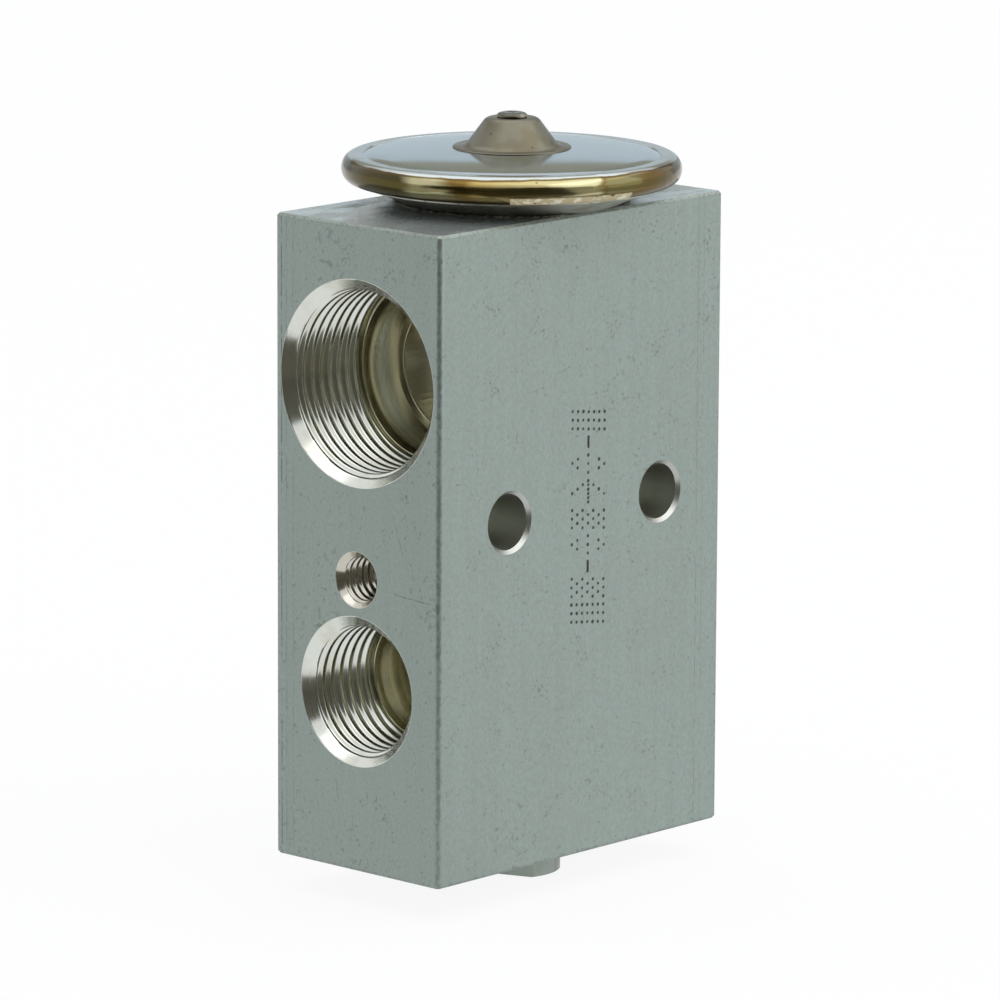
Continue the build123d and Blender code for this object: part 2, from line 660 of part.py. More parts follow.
with BuildPart() as valve_ball:
    with Locations((STEM_OFFSET, 0, BALL_LEVEL)):
        Sphere(BALL_RADIUS)

with BuildPart() as ball_carrier:
    turn_outline(
        [
            (0, CARRIER_BOTTOM - CARRIER_SPIGOT),
            (SPIGOT_RADIUS, CARRIER_BOTTOM - CARRIER_SPIGOT),
            (SPIGOT_RADIUS, CARRIER_BOTTOM),
            (CARRIER_RADIUS, CARRIER_BOTTOM),
            (CARRIER_RADIUS, CARRIER_TOP),
            (0, CARRIER_TOP),
        ]
    )
    with Locations((STEM_OFFSET, 0, BALL_LEVEL)):
        Sphere(BALL_RADIUS, mode=Mode.SUBTRACT)

with BuildPart() as antivibration_spring:
    # a washer under the carrier, its fingers bent up along the chamber's wall
    finger_outer = CHAMBER_RADIUS - END_GAP
    finger_inner = finger_outer - SHEET_THICKNESS
    turn_outline(
        [
            (SPIGOT_RADIUS, SHEET_BOTTOM),
            (CARRIER_RADIUS, SHEET_BOTTOM),
            (CARRIER_RADIUS, CARRIER_BOTTOM),
            (SPIGOT_RADIUS, CARRIER_BOTTOM),
        ]
    )
    for finger in range(FINGER_COUNT):
        with BuildSketch(stem_plane(finger * 360 / FINGER_COUNT)):
            with BuildLine():
                Polyline(
                    (CARRIER_RADIUS - SHEET_THICKNESS, SHEET_BOTTOM),
                    (finger_outer, SHEET_BOTTOM),
                    (finger_outer, SHEET_BOTTOM + FINGER_HEIGHT),
                    (finger_inner, SHEET_BOTTOM + FINGER_HEIGHT),
                    (finger_inner, CARRIER_BOTTOM),
                    (CARRIER_RADIUS - SHEET_THICKNESS, CARRIER_BOTTOM),
                    close=True,
                )
            make_face()
        revolve(axis=STEM_AXIS, revolution_arc=FINGER_ANGLE)

with BuildPart() as bias_spring:
    # a round wire's helix between the screw's nose and the carrier, both ends ground flat
    helix_foot = NOSE_TOP + SPRING_GRIND
    helix_height = SHEET_BOTTOM - SPRING_GRIND - helix_foot
    with BuildLine():
        coil = Helix(
            pitch=helix_height / SPRING_TURNS,
            height=helix_height,
            radius=SPRING_RADIUS,
            center=(STEM_OFFSET, 0, helix_foot),
        )
    with BuildSketch(Plane(origin=coil @ 0, z_dir=coil % 0)):
        Circle(WIRE_RADIUS)
    sweep(is_frenet=True)
    with BuildSketch(Plane.XY.offset(NOSE_TOP)):
        with Locations((STEM_OFFSET, 0)):
            Circle(CHAMBER_RADIUS)
    extrude(amount=SHEET_BOTTOM - NOSE_TOP, mode=Mode.INTERSECT)

# ---------------------------------------------------------------- adjusting screw
with BuildPart() as adjusting_screw:
    screw_radius = SCREW_THREAD / 2
    nose_radius = CHAMBER_RADIUS - NOSE_GAP
    screw_groove_radius = CHAMBER_RADIUS - 2 * SEAL_CLEARANCE - SCREW_SEAL_SECTION
    turn_outline(
        [
            (0, 0),
            (screw_radius, 0),
            (screw_radius, SCREW_SHOULDER),
            (nose_radius, SCREW_SHOULDER + screw_radius - nose_radius),
            (nose_radius, SCREW_GROOVE_BOTTOM),
            (screw_groove_radius, SCREW_GROOVE_BOTTOM),
            (screw_groove_radius, SCREW_GROOVE_TOP),
            (nose_radius, SCREW_GROOVE_TOP),
            (nose_radius, NOSE_TOP),
            (SPIGOT_RADIUS, NOSE_TOP),
            (SPIGOT_RADIUS, NOSE_TOP + SPIGOT_LENGTH),
            (0, NOSE_TOP + SPIGOT_LENGTH),
        ]
    )
    with BuildSketch(Plane.XY):
        with Locations(Location((STEM_OFFSET, 0), SCREW_FLATS_ANGLE)):
            with GridLocations(SCREW_FLATS + SCREW_THREAD, 1, 2, 1):
                Rectangle(SCREW_THREAD, SCREW_THREAD)
    extrude(amount=SCREW_FLATS_LENGTH, mode=Mode.SUBTRACT)

with BuildPart() as adjusting_screw_seal:
    turn_seal(
        CHAMBER_RADIUS - SEAL_CLEARANCE - SCREW_SEAL_SECTION / 2,
        (SCREW_GROOVE_BOTTOM + SCREW_GROOVE_TOP) / 2,
        SCREW_SEAL_SECTION,
    )

# ---------------------------------------------------------------- labels and files
valve_body.part.label = "valve_body"
lower_cover.part.label = "lower_cover"
upper_cover.part.label = "upper_cover"
rim_weld.part.label = "rim_weld"
charging_cap.part.label = "charging_cap"
charge_plug.part.label = "charge_plug"
diaphragm.part.label = "diaphragm"
head_seal.part.label = "head_seal"
sealing_compound.part.label = "sealing_compound"
diaphragm_support.part.label = "diaphragm_support"
sensing_rod.part.label = "sensing_rod"
push_rod.part.label = "push_rod"
rod_seal.part.label = "rod_seal"
rod_seal_retainer.part.label = "rod_seal_retainer"
valve_seat.part.label = "valve_seat"
valve_ball.part.label = "valve_ball"
ball_carrier.part.label = "ball_carrier"
antivibration_spring.part.label = "antivibration_spring"
bias_spring.part.label = "bias_spring"
adjusting_screw.part.label = "adjusting_screw"
adjusting_screw_seal.part.label = "adjusting_screw_seal"

os.makedirs("parts", exist_ok=True)
export_step(valve_body.part, "parts/valve_body.step")
export_step(lower_cover.part, "parts/lower_cover.step")
export_step(upper_cover.part, "parts/upper_cover.step")
export_step(rim_weld.part, "parts/rim_weld.step")
export_step(charging_cap.part, "parts/charging_cap.step")
export_step(charge_plug.part, "parts/charge_plug.step")
export_step(diaphragm.part, "parts/diaphragm.step")
export_step(head_seal.part, "parts/head_seal.step")
export_step(sealing_compound.part, "parts/sealing_compound.step")
export_step(diaphragm_support.part, "parts/diaphragm_support.step")
export_step(sensing_rod.part, "parts/sensing_rod.step")
export_step(push_rod.part, "parts/push_rod.step")
export_step(rod_seal.part, "parts/rod_seal.step")
export_step(rod_seal_retainer.part, "parts/rod_seal_retainer.step")
export_step(valve_seat.part, "parts/valve_seat.step")
export_step(valve_ball.part, "parts/valve_ball.step")
export_step(ball_carrier.part, "parts/ball_carrier.step")
export_step(antivibration_spring.part, "parts/antivibration_spring.step")
export_step(bias_spring.part, "parts/bias_spring.step")
export_step(adjusting_screw.part, "parts/adjusting_screw.step")
export_step(adjusting_screw_seal.part, "parts/adjusting_screw_seal.step")
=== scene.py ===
import json
import logging
import math
from dataclasses import dataclass, field
from enum import Enum
from functools import cache

import bmesh
import bpy
from mathutils import Matrix, Vector, noise


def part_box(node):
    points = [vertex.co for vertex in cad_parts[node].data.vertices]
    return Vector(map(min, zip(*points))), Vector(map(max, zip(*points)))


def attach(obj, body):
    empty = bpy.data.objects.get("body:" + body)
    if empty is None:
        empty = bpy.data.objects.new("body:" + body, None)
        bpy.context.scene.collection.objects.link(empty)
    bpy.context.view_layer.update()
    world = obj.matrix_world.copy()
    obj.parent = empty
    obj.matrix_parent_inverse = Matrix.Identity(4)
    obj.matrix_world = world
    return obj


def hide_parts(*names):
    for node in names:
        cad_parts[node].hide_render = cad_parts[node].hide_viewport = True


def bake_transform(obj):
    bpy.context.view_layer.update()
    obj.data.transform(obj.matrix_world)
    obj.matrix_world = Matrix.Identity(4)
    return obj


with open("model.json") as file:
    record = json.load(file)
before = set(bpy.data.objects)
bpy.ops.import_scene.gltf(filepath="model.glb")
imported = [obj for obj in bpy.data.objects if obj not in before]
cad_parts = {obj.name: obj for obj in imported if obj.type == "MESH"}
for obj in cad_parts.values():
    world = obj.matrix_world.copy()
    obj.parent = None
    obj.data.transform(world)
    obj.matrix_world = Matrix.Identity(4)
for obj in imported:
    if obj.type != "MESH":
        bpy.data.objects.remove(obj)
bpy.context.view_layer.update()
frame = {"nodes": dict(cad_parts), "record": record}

LOG = logging.getLogger("expansion_valve")
MM = 0.001
NOISE_RANGE = (0.3, 0.7)
FINE_MERGE = 0.0001 * MM
COARSE_MERGE = 0.0005 * MM

Colour = tuple[float, float, float]
Place = tuple[float, float, float]
Point = tuple[float, float]
Value = bpy.types.NodeSocket | float | Colour | Place


# ---------------------------------------------------------------- frame sizes
@cache
def low(node: str) -> Vector:
    """Give a node's lowest corner, in millimetres."""
    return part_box(node)[0] / MM


@cache
def high(node: str) -> Vector:
    """Give a node's highest corner, in millimetres."""
    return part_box(node)[1] / MM


@cache
def stem_x() -> float:
    """Give the stem axis's x in millimetres, the middle of the welded rim."""
    return (low("rim_weld").x + high("rim_weld").x) / 2


class Side(Enum):
    """The end face that a port opens on, as the sign of its x."""

    PIPES = -1
    EVAPORATOR = 1


# ---------------------------------------------------------------- node trees
class Graph:
    """A node tree that is built by calls, each of which adds one node."""

    def __init__(self, tree: bpy.types.NodeTree) -> None:
        """Take over a tree and empty it.

        Args:
            tree: The material's or node group's tree.
        """
        self.tree = tree
        tree.nodes.clear()

    def feed(self, socket: bpy.types.NodeSocket, value: Value) -> None:
        """Link a value into a socket, or set it there if it is a constant.

        Args:
            socket: The input.
            value: Another node's output, a number, a colour or a vector.
        """
        if isinstance(value, bpy.types.NodeSocket):
            self.tree.links.new(value, socket)
        elif socket.type == "RGBA" and len(value) == 3:
            socket.default_value = (*value, 1.0)
        else:
            socket.default_value = value

    def add(self, kind: str, inputs: dict | None = None, **settings: object) -> bpy.types.Node:
        """Add a node with its settings and inputs.

        Args:
            kind: The node's type, without "ShaderNode" in front.
            inputs: Values by the name or number of the input.
            settings: The node's own settings by name.

        Returns:
            The new node.
        """
        node = self.tree.nodes.new("ShaderNode" + kind)
        for name, value in settings.items():
            setattr(node, name, value)
        for name, value in (inputs or {}).items():
            self.feed(node.inputs[name], value)
        return node

    def math(self, operation: str, *values: Value) -> bpy.types.NodeSocket:
        """Add a Math node.

        Args:
            operation: Blender's name of the operation.
            values: One to three inputs.

        Returns:
            The result.
        """
        return self.add("Math", dict(enumerate(values)), operation=operation).outputs[0]

    def split(self, vector: Value) -> list[bpy.types.NodeSocket]:
        """Give the X, Y and Z of a vector."""
        return list(self.add("SeparateXYZ", {0: vector}).outputs)

    def step(
        self, value: Value, start: float, end: float, low: float = 0.0, high: float = 1.0
    ) -> Value:
        """Ramp smoothly from low to high as a value goes from start to end.

        Args:
            value: What is compared.
            start: Where the ramp begins.
            end: Where it ends, which may be below start.
            low: The result at the start.
            high: The result at the end.

        Returns:
            The ramped value.
        """
        limits = {"From Min": start, "From Max": end, "To Min": low, "To Max": high}
        node = self.add("MapRange", {"Value": value, **limits}, interpolation_type="SMOOTHSTEP")
        return node.outputs[0]

    def spread(self, noisy: Value, low: float, high: float) -> Value:
        """Spread a noise's usual range over low to high.

        Args:
            noisy: The noise.
            low: The result at the range's start.
            high: The result at its end.

        Returns:
            The spread value.
        """
        return self.step(noisy, *NOISE_RANGE, low, high)

    def vector(self, operation: str, *values: Value) -> bpy.types.Node:
        """Add a Vector Math node.

        Args:
            operation: Blender's name of the operation.
            values: One or two vectors.

        Returns:
            The node.
        """
        return self.add("VectorMath", dict(enumerate(values)), operation=operation)

    def around(self, place: Value, centre: Place, axis: int = 2) -> tuple[Value, Value]:
        """Give how far a point is from an axis and how far along it.

        Args:
            place: The point.
            centre: A point on the axis.
            axis: The axis's direction, 0 to 2 for x to z.

        Returns:
            The radius and the level.
        """
        parts = self.split(self.vector("SUBTRACT", place, centre).outputs[0])
        level = parts.pop(axis)
        squares = [self.math("MULTIPLY", part, part) for part in parts]
        return self.math("SQRT", self.math("ADD", *squares)), level

    def blend(self, factor: Value, first: Value, second: Value, how: str = "MIX") -> Value:
        """Mix two colours.

        Args:
            factor: The share of the second colour.
            first: A colour.
            second: A colour.
            how: Blender's name of the blend type.

        Returns:
            The mixed colour.
        """
        node = self.add("Mix", data_type="RGBA", blend_type=how)
        self.feed(node.inputs[0], factor)
        self.feed(node.inputs[6], first)
        self.feed(node.inputs[7], second)
        return node.outputs[2]

    def ramp(self, value: Value, stops: list[tuple[float, Colour]]) -> Value:
        """Look a value up in a row of colours.

        Args:
            value: From 0 to 1.
            stops: Places from 0 to 1 with their colours, in order.

        Returns:
            The colour.
        """
        node = self.add("ValToRGB", {0: value})
        band = node.color_ramp
        for place, _ in stops[1:-1]:
            band.elements.new(place)
        for element, (_, colour) in zip(band.elements, stops):
            element.color = (*colour, 1.0)
        return node.outputs[0]

    def use(self, group: bpy.types.NodeTree, **inputs: Value) -> bpy.types.NodeSocket:
        """Place a node group and give its first output.

        Args:
            group: The group's tree.
            inputs: Values by the input's name.

        Returns:
            The group's first output.
        """
        node = self.add("Group", node_tree=group)
        for name, value in inputs.items():
            self.feed(node.inputs[name], value)
        return node.outputs[0]

    def output(self, shader: bpy.types.Node, kind: str = "OutputMaterial") -> None:
        """Put a shader out of the tree.

        Args:
            shader: The last shader node.
            kind: The output node's type.
        """
        self.feed(self.add(kind).inputs["Surface"], shader.outputs[0])


class GroupGraph(Graph):
    """A node group with named inputs and one output."""

    def __init__(self, name: str, inputs: dict[str, float | None], output: str) -> None:
        """Make the group and its sockets.

        Args:
            name: The group's name.
            inputs: Each input's default; None is a vector.
            output: The name of its one value output.
        """
        tree = bpy.data.node_groups.new(name, "ShaderNodeTree")
        super().__init__(tree)
        for label, default in inputs.items():
            kind = "NodeSocketVector" if default is None else "NodeSocketFloat"
            socket = tree.interface.new_socket(label, in_out="INPUT", socket_type=kind)
            if default is not None:
                socket.default_value = default
        tree.interface.new_socket(output, in_out="OUTPUT", socket_type="NodeSocketFloat")
        self.start = tree.nodes.new("NodeGroupInput")
        self.end = tree.nodes.new("NodeGroupOutput")

    def given(self, label: str) -> bpy.types.NodeSocket:
        """Give one of the group's inputs."""
        return self.start.outputs[label]

    def close(self, result: bpy.types.NodeSocket) -> bpy.types.NodeTree:
        """Put a result out of the group and give the finished tree."""
        self.feed(self.end.inputs[0], result)
        return self.tree


@cache
def specks() -> bpy.types.NodeTree:
    """Build the group for scattered round specks of uneven size.

    Returns:
        A group whose mask is 1 inside a speck.
    """
    g = GroupGraph("specks", {"Vector": None, "Scale": 1000.0, "Size": 0.3}, "Mask")
    cells = g.add("TexVoronoi", {"Vector": g.given("Vector"), "Scale": g.given("Scale")})
    chance = g.split(cells.outputs["Color"])[0]
    reach = g.math("MULTIPLY", g.math("POWER", chance, 3.0), g.given("Size"))
    inside = g.math("SUBTRACT", reach, cells.outputs["Distance"])
    return g.close(g.step(inside, 0.0, 0.08))


@cache
def scuffs() -> bpy.types.NodeTree:
    """Build the group for small ragged scuffs that gather in clouds.

    Returns:
        A group whose mask is 1 inside a scuff; Amount thickens them.
    """
    inputs = {"Vector": None, "Scale": 1300.0, "Cloud": 100.0, "Amount": 0.0}
    g = GroupGraph("scuffs", inputs, "Mask")
    place = g.given("Vector")
    small = {"Vector": place, "Scale": g.given("Scale"), "Detail": 5.0, "Roughness": 0.6}
    broad = {"Vector": place, "Scale": g.given("Cloud"), "Detail": 2.0}
    grain = g.add("TexNoise", small).outputs[0]
    cloud = g.add("TexNoise", broad).outputs[0]
    gathered = g.math("MULTIPLY_ADD", g.math("SUBTRACT", cloud, 0.5), 0.4, grain)
    return g.close(g.step(g.math("ADD", gathered, g.given("Amount")), 0.66, 0.74))


@cache
def scratch_distance() -> bpy.types.NodeTree:
    """Build the group for how far a point is from a straight scratch.

    Returns:
        A group whose distance is to the line from Start along Span.
    """
    g = GroupGraph("scratch_distance", {"Vector": None, "Start": None, "Span": None}, "Distance")
    span = g.given("Span")
    offset = g.vector("SUBTRACT", g.given("Vector"), g.given("Start")).outputs[0]
    along = g.vector("DOT_PRODUCT", offset, span).outputs["Value"]
    square = g.vector("DOT_PRODUCT", span, span).outputs["Value"]
    share = g.math("MAXIMUM", g.math("DIVIDE", along, square), 0.0)
    share = g.math("MINIMUM", share, 1.0)
    nearest = g.add("VectorMath", {0: span, "Scale": share}, operation="SCALE").outputs[0]
    gap = g.vector("SUBTRACT", offset, nearest).outputs[0]
    return g.close(g.vector("LENGTH", gap).outputs["Value"])


@cache
def streaks() -> bpy.types.NodeTree:
    """Build the group for noise drawn out into lines or bands.

    Returns:
        A group whose value lies about 0.5; Stretch holds cycles a metre each way.
    """
    g = GroupGraph("streaks", {"Vector": None, "Stretch": None, "Detail": 3.0}, "Value")
    scaled = g.vector("MULTIPLY", g.given("Vector"), g.given("Stretch")).outputs[0]
    lines = g.add("TexNoise", {"Vector": scaled, "Scale": 1.0, "Detail": g.given("Detail")})
    return g.close(lines.outputs[0])


@cache
def turning() -> bpy.types.NodeTree:
    """Build the group for the rings that a lathe tool leaves.

    Returns:
        A group whose height follows Radius and Level, with Pitch metres a ring.
    """
    g = GroupGraph("turning", {"Radius": 0.0, "Level": 0.0, "Pitch": 0.0001}, "Height")
    across = g.math("DIVIDE", g.given("Radius"), g.given("Pitch"))
    along = g.math("DIVIDE", g.given("Level"), g.given("Pitch"))
    place = g.add("CombineXYZ", {0: across, 1: along})
    rings = g.add("TexNoise", {"Vector": place.outputs[0], "Scale": 0.7, "Detail": 2.0})
    return g.close(rings.outputs[0])


@cache
def edge_distance() -> bpy.types.NodeTree:
    """Build the group for how far a point on a box is from the box's nearest edge.

    Returns:
        A group whose distance is the second smallest of those to the three pairs of faces.
    """
    g = GroupGraph("edge_distance", {"Vector": None, "Centre": None, "Half": None}, "Distance")
    offset = g.vector("SUBTRACT", g.given("Vector"), g.given("Centre")).outputs[0]
    outward = g.vector("ABSOLUTE", offset).outputs[0]
    x, y, z = g.split(g.vector("SUBTRACT", g.given("Half"), outward).outputs[0])
    lower = g.math("MINIMUM", x, y)
    upper = g.math("MAXIMUM", x, y)
    return g.close(g.math("MAXIMUM", lower, g.math("MINIMUM", upper, z)))


# ---------------------------------------------------------------- finishes
def blank_material(name: str) -> tuple[bpy.types.Material, Graph]:
    """Make a material with an empty tree, and give it with its graph."""
    made = bpy.data.materials.new(name)
    made.use_nodes = True
    return made, Graph(made.node_tree)


@dataclass(frozen=True)
class Finish:
    """A surface finish, built once as a material.

    Attributes:
        name: The material's name.
        colour: The base colour, linear.
        roughness: The shader's roughness, before any wear.
        metallic: 1 on bare metal.
    """

    name: str
    colour: Colour
    roughness: float = 0.4
    metallic: float = 1.0

    @cache
    def material(self) -> bpy.types.Material:
        """Build the material the first time, and give it again after that."""
        made, g = blank_material(self.name)
        shader = g.add("BsdfPrincipled", {"Metallic": self.metallic})
        g.output(shader)
        self.paint(g, shader, g.add("TexCoord").outputs["Object"])
        return made

    def paint(self, g: Graph, shader: bpy.types.Node, place: bpy.types.NodeSocket) -> None:
        """Feed the shader's colour, roughness and normal.

        Args:
            g: The material's graph.
            shader: Its Principled BSDF.
            place: Object coordinates.
        """
        raise NotImplementedError

    def coat(
        self,
        g: Graph,
        shader: bpy.types.Node,
        colour: Value,
        roughness: Value,
        height: Value,
        depth: float,
        strength: float = 1.0,
    ) -> None:
        """Link what paint worked out into the shader.

        Args:
            g: The material's graph.
            shader: Its Principled BSDF.
            colour: The base colour.
            roughness: The roughness.
            height: The bump's height, from 0 to 1.
            depth: How deep 1 is, in metres.
            strength: The bump's strength.
        """
        bump = g.add("Bump", {"Strength": strength, "Distance": depth, "Height": height})
        g.feed(shader.inputs["Base Color"], colour)
        g.feed(shader.inputs["Roughness"], roughness)
        g.feed(shader.inputs["Normal"], bump.outputs[0])


@dataclass(frozen=True)
class DieLine:
    """A line that the die drew up the block's sides.

    Attributes:
        axis: The direction that its place is measured in, 0 for x and 1 for y.
        place: Where it lies, in metres.
        strength: How dark it is.
    """

    axis: int
    place: float
    strength: float


@dataclass(frozen=True)
class Scratch:
    """A straight scratch, in metres.

    Attributes:
        start: One end.
        span: From there to the other end.
        strength: How dark it is.
    """

    start: Place
    span: Place
    strength: float


@dataclass(frozen=True)
class ExtrudedSkin(Finish):
    """The block's drawn sides: dull, finely grained, scuffed and worn at their edges.

    Attributes:
        centre: The block's middle, in metres.
        half: Half the block's size, in metres.
        die_lines: The lines that the die left.
        scratches: The scratches from handling.
    """

    centre: Place = (0.0, 0.0, 0.0)
    half: Place = (0.0, 0.0, 0.0)
    die_lines: tuple[DieLine, ...] = ()
    scratches: tuple[Scratch, ...] = ()

    def paint(self, g: Graph, shader: bpy.types.Node, place: bpy.types.NodeSocket) -> None:
        """Feed the shader from grain, scuffs, die lines, scratches and worn edges."""
        grain = g.use(streaks(), Vector=place, Stretch=(3200.0, 3200.0, 2200.0), Detail=3.0)
        drawn = g.use(streaks(), Vector=place, Stretch=(800.0, 800.0, 12.0), Detail=3.0)
        cloud = g.use(streaks(), Vector=place, Stretch=(80.0, 80.0, 50.0), Detail=3.0)
        chips = g.use(streaks(), Vector=place, Stretch=(2100.0, 2100.0, 1500.0), Detail=5.0)
        tone = g.math("MULTIPLY", g.spread(grain, 0.95, 1.05), g.spread(drawn, 0.985, 1.015))
        tone = g.math("MULTIPLY", tone, g.spread(cloud, 0.975, 1.025))
        shade = g.add("CombineXYZ", {0: tone, 1: tone, 2: tone}).outputs[0]
        colour = g.blend(1.0, self.colour, shade, "MULTIPLY")

        marks = g.use(scuffs(), Vector=place, Scale=1100.0, Cloud=120.0, Amount=0.025)
        pits = g.use(scuffs(), Vector=place, Scale=2300.0, Cloud=300.0, Amount=0.03)
        dark = g.math("MAXIMUM", g.math("MULTIPLY", marks, 0.3), g.math("MULTIPLY", pits, 0.4))
        dark = g.math("MAXIMUM", dark, self.lines(g, place, chips))
        colour = g.blend(dark, colour, (0.075, 0.08, 0.07))

        edge = g.use(edge_distance(), Vector=place, Centre=self.centre, Half=self.half)
        ragged_edge = g.math("ADD", edge, g.spread(chips, -0.00026, 0.00030))
        worn = g.step(ragged_edge, 0.00040, 0.00014)
        top = self.centre[2] + self.half[2]
        sawn = g.step(g.split(place)[2], top - 0.0009, top - 0.0006)
        rubbed = g.blend(g.step(chips, 0.42, 0.56), (0.17, 0.145, 0.10), (0.44, 0.41, 0.32))
        bare = g.blend(sawn, (0.10, 0.10, 0.085), rubbed)
        colour = g.blend(g.math("MULTIPLY", worn, 0.3), colour, bare)
        rough = g.spread(cloud, self.roughness - 0.03, self.roughness + 0.04)
        hollow = g.math("MAXIMUM", dark, g.math("MULTIPLY", worn, 0.7))
        height = g.math("SUBTRACT", g.math("MULTIPLY", grain, 0.6), hollow)
        self.coat(g, shader, colour, rough, height, 0.000012)

    def lines(self, g: Graph, place: Value, chips: Value) -> Value:
        """Give the mask of die lines and scratches.

        Args:
            g: The material's graph.
            place: Object coordinates.
            chips: A fine noise that breaks them up.

        Returns:
            The mask, as dark as the darkest of them.
        """
        breaks = g.use(streaks(), Vector=place, Stretch=(300.0, 300.0, 170.0), Detail=5.0)
        shared = g.math("MULTIPLY", g.step(breaks, 0.40, 0.52), g.step(chips, 0.35, 0.5))
        axes = g.split(place)
        mask: Value = 0.0
        for line in self.die_lines:
            away = g.math("ABSOLUTE", g.math("SUBTRACT", axes[line.axis], line.place))
            drawn = g.math("MULTIPLY", g.step(away, 0.00009, 0.00003, 0.0, line.strength), shared)
            mask = g.math("MAXIMUM", mask, drawn)
        for scratch in self.scratches:
            away = g.use(scratch_distance(), Vector=place, Start=scratch.start, Span=scratch.span)
            away = g.math("ADD", away, g.spread(chips, -0.00002, 0.00005))
            mask = g.math("MAXIMUM", mask, g.step(away, 0.00010, 0.00003, 0.0, scratch.strength))
        return mask


@dataclass(frozen=True)
class MilledFace(Finish):
    """A milled or sawn end of the block: bright, with the cutter's fine arcs and smears."""

    def paint(self, g: Graph, shader: bpy.types.Node, place: bpy.types.NodeSocket) -> None:
        """Feed the shader from the cutter's lines and rubbed patches."""
        lines = g.use(streaks(), Vector=place, Stretch=(300.0, 5200.0, 300.0), Detail=3.0)
        smear = g.use(streaks(), Vector=place, Stretch=(190.0, 340.0, 300.0), Detail=5.0)
        pits = g.use(specks(), Vector=place, Scale=900.0, Size=0.3)
        dull = tuple(0.78 * part for part in self.colour)
        colour = g.blend(g.step(smear, 0.42, 0.62), self.colour, dull)
        colour = g.blend(g.math("MULTIPLY", pits, 0.5), colour, (0.12, 0.11, 0.09))
        rough = g.step(smear, 0.4, 0.65, self.roughness, self.roughness + 0.16)
        height = g.math("ADD", g.math("MULTIPLY", lines, 0.5), g.math("MULTIPLY", smear, 0.5))
        self.coat(g, shader, colour, rough, height, 0.000009)


class Spindle(Enum):
    """The line that a turned surface was cut about."""

    ALONG_X = 0
    ALONG_Y = 1
    ALONG_Z = 2


@dataclass(frozen=True)
class Turned(Finish):
    """A turned or bored surface with the tool's rings round one axis.

    Attributes:
        spindle: The axis's direction.
        centre: A point on the axis, in metres.
        pitch: The rings' spacing, in metres.
        depth: The rings' depth, in metres.
        stain: A second colour, in faint patches.
        stained: How strong the patches are.
    """

    spindle: Spindle = Spindle.ALONG_Z
    centre: Place = (0.0, 0.0, 0.0)
    pitch: float = 0.00012
    depth: float = 0.000006
    stain: Colour = (0.3, 0.27, 0.2)
    stained: float = 0.2

    def paint(self, g: Graph, shader: bpy.types.Node, place: bpy.types.NodeSocket) -> None:
        """Feed the shader from the rings and patches."""
        radius, level = g.around(place, self.centre, self.spindle.value)
        rings = g.use(turning(), Radius=radius, Level=level, Pitch=self.pitch)
        patches = g.use(streaks(), Vector=place, Stretch=(260.0, 260.0, 260.0), Detail=3.0)
        colour = g.blend(g.step(patches, 0.45, 0.7, 0.0, self.stained), self.colour, self.stain)
        rough = g.spread(rings, self.roughness - 0.03, self.roughness + 0.05)
        self.coat(g, shader, colour, rough, rings, self.depth)


@dataclass(frozen=True)
class Polished(Finish):
    """Pressed and polished sheet, with faint rings, haze and a little dust.

    Attributes:
        centre: A point on the rings' axis, in metres.
    """

    centre: Place = (0.0, 0.0, 0.0)

    def paint(self, g: Graph, shader: bpy.types.Node, place: bpy.types.NodeSocket) -> None:
        """Feed the shader from rings, haze and dust."""
        radius, level = g.around(place, self.centre)
        rings = g.use(turning(), Radius=radius, Level=level, Pitch=0.00025)
        haze = g.use(streaks(), Vector=place, Stretch=(130.0, 130.0, 130.0), Detail=4.0)
        dust = g.use(specks(), Vector=place, Scale=420.0, Size=0.16)
        dull = tuple(0.86 * part for part in self.colour)
        colour = g.blend(g.step(haze, 0.4, 0.7, 0.0, 0.25), self.colour, dull)
        colour = g.blend(g.math("MULTIPLY", dust, 0.6), colour, (0.10, 0.09, 0.08))
        rough = g.step(haze, 0.35, 0.7, self.roughness, self.roughness + 0.05)
        height = g.math("ADD", g.math("MULTIPLY", rings, 0.35), g.math("MULTIPLY", haze, 0.65))
        self.coat(g, shader, colour, rough, height, 0.000006)


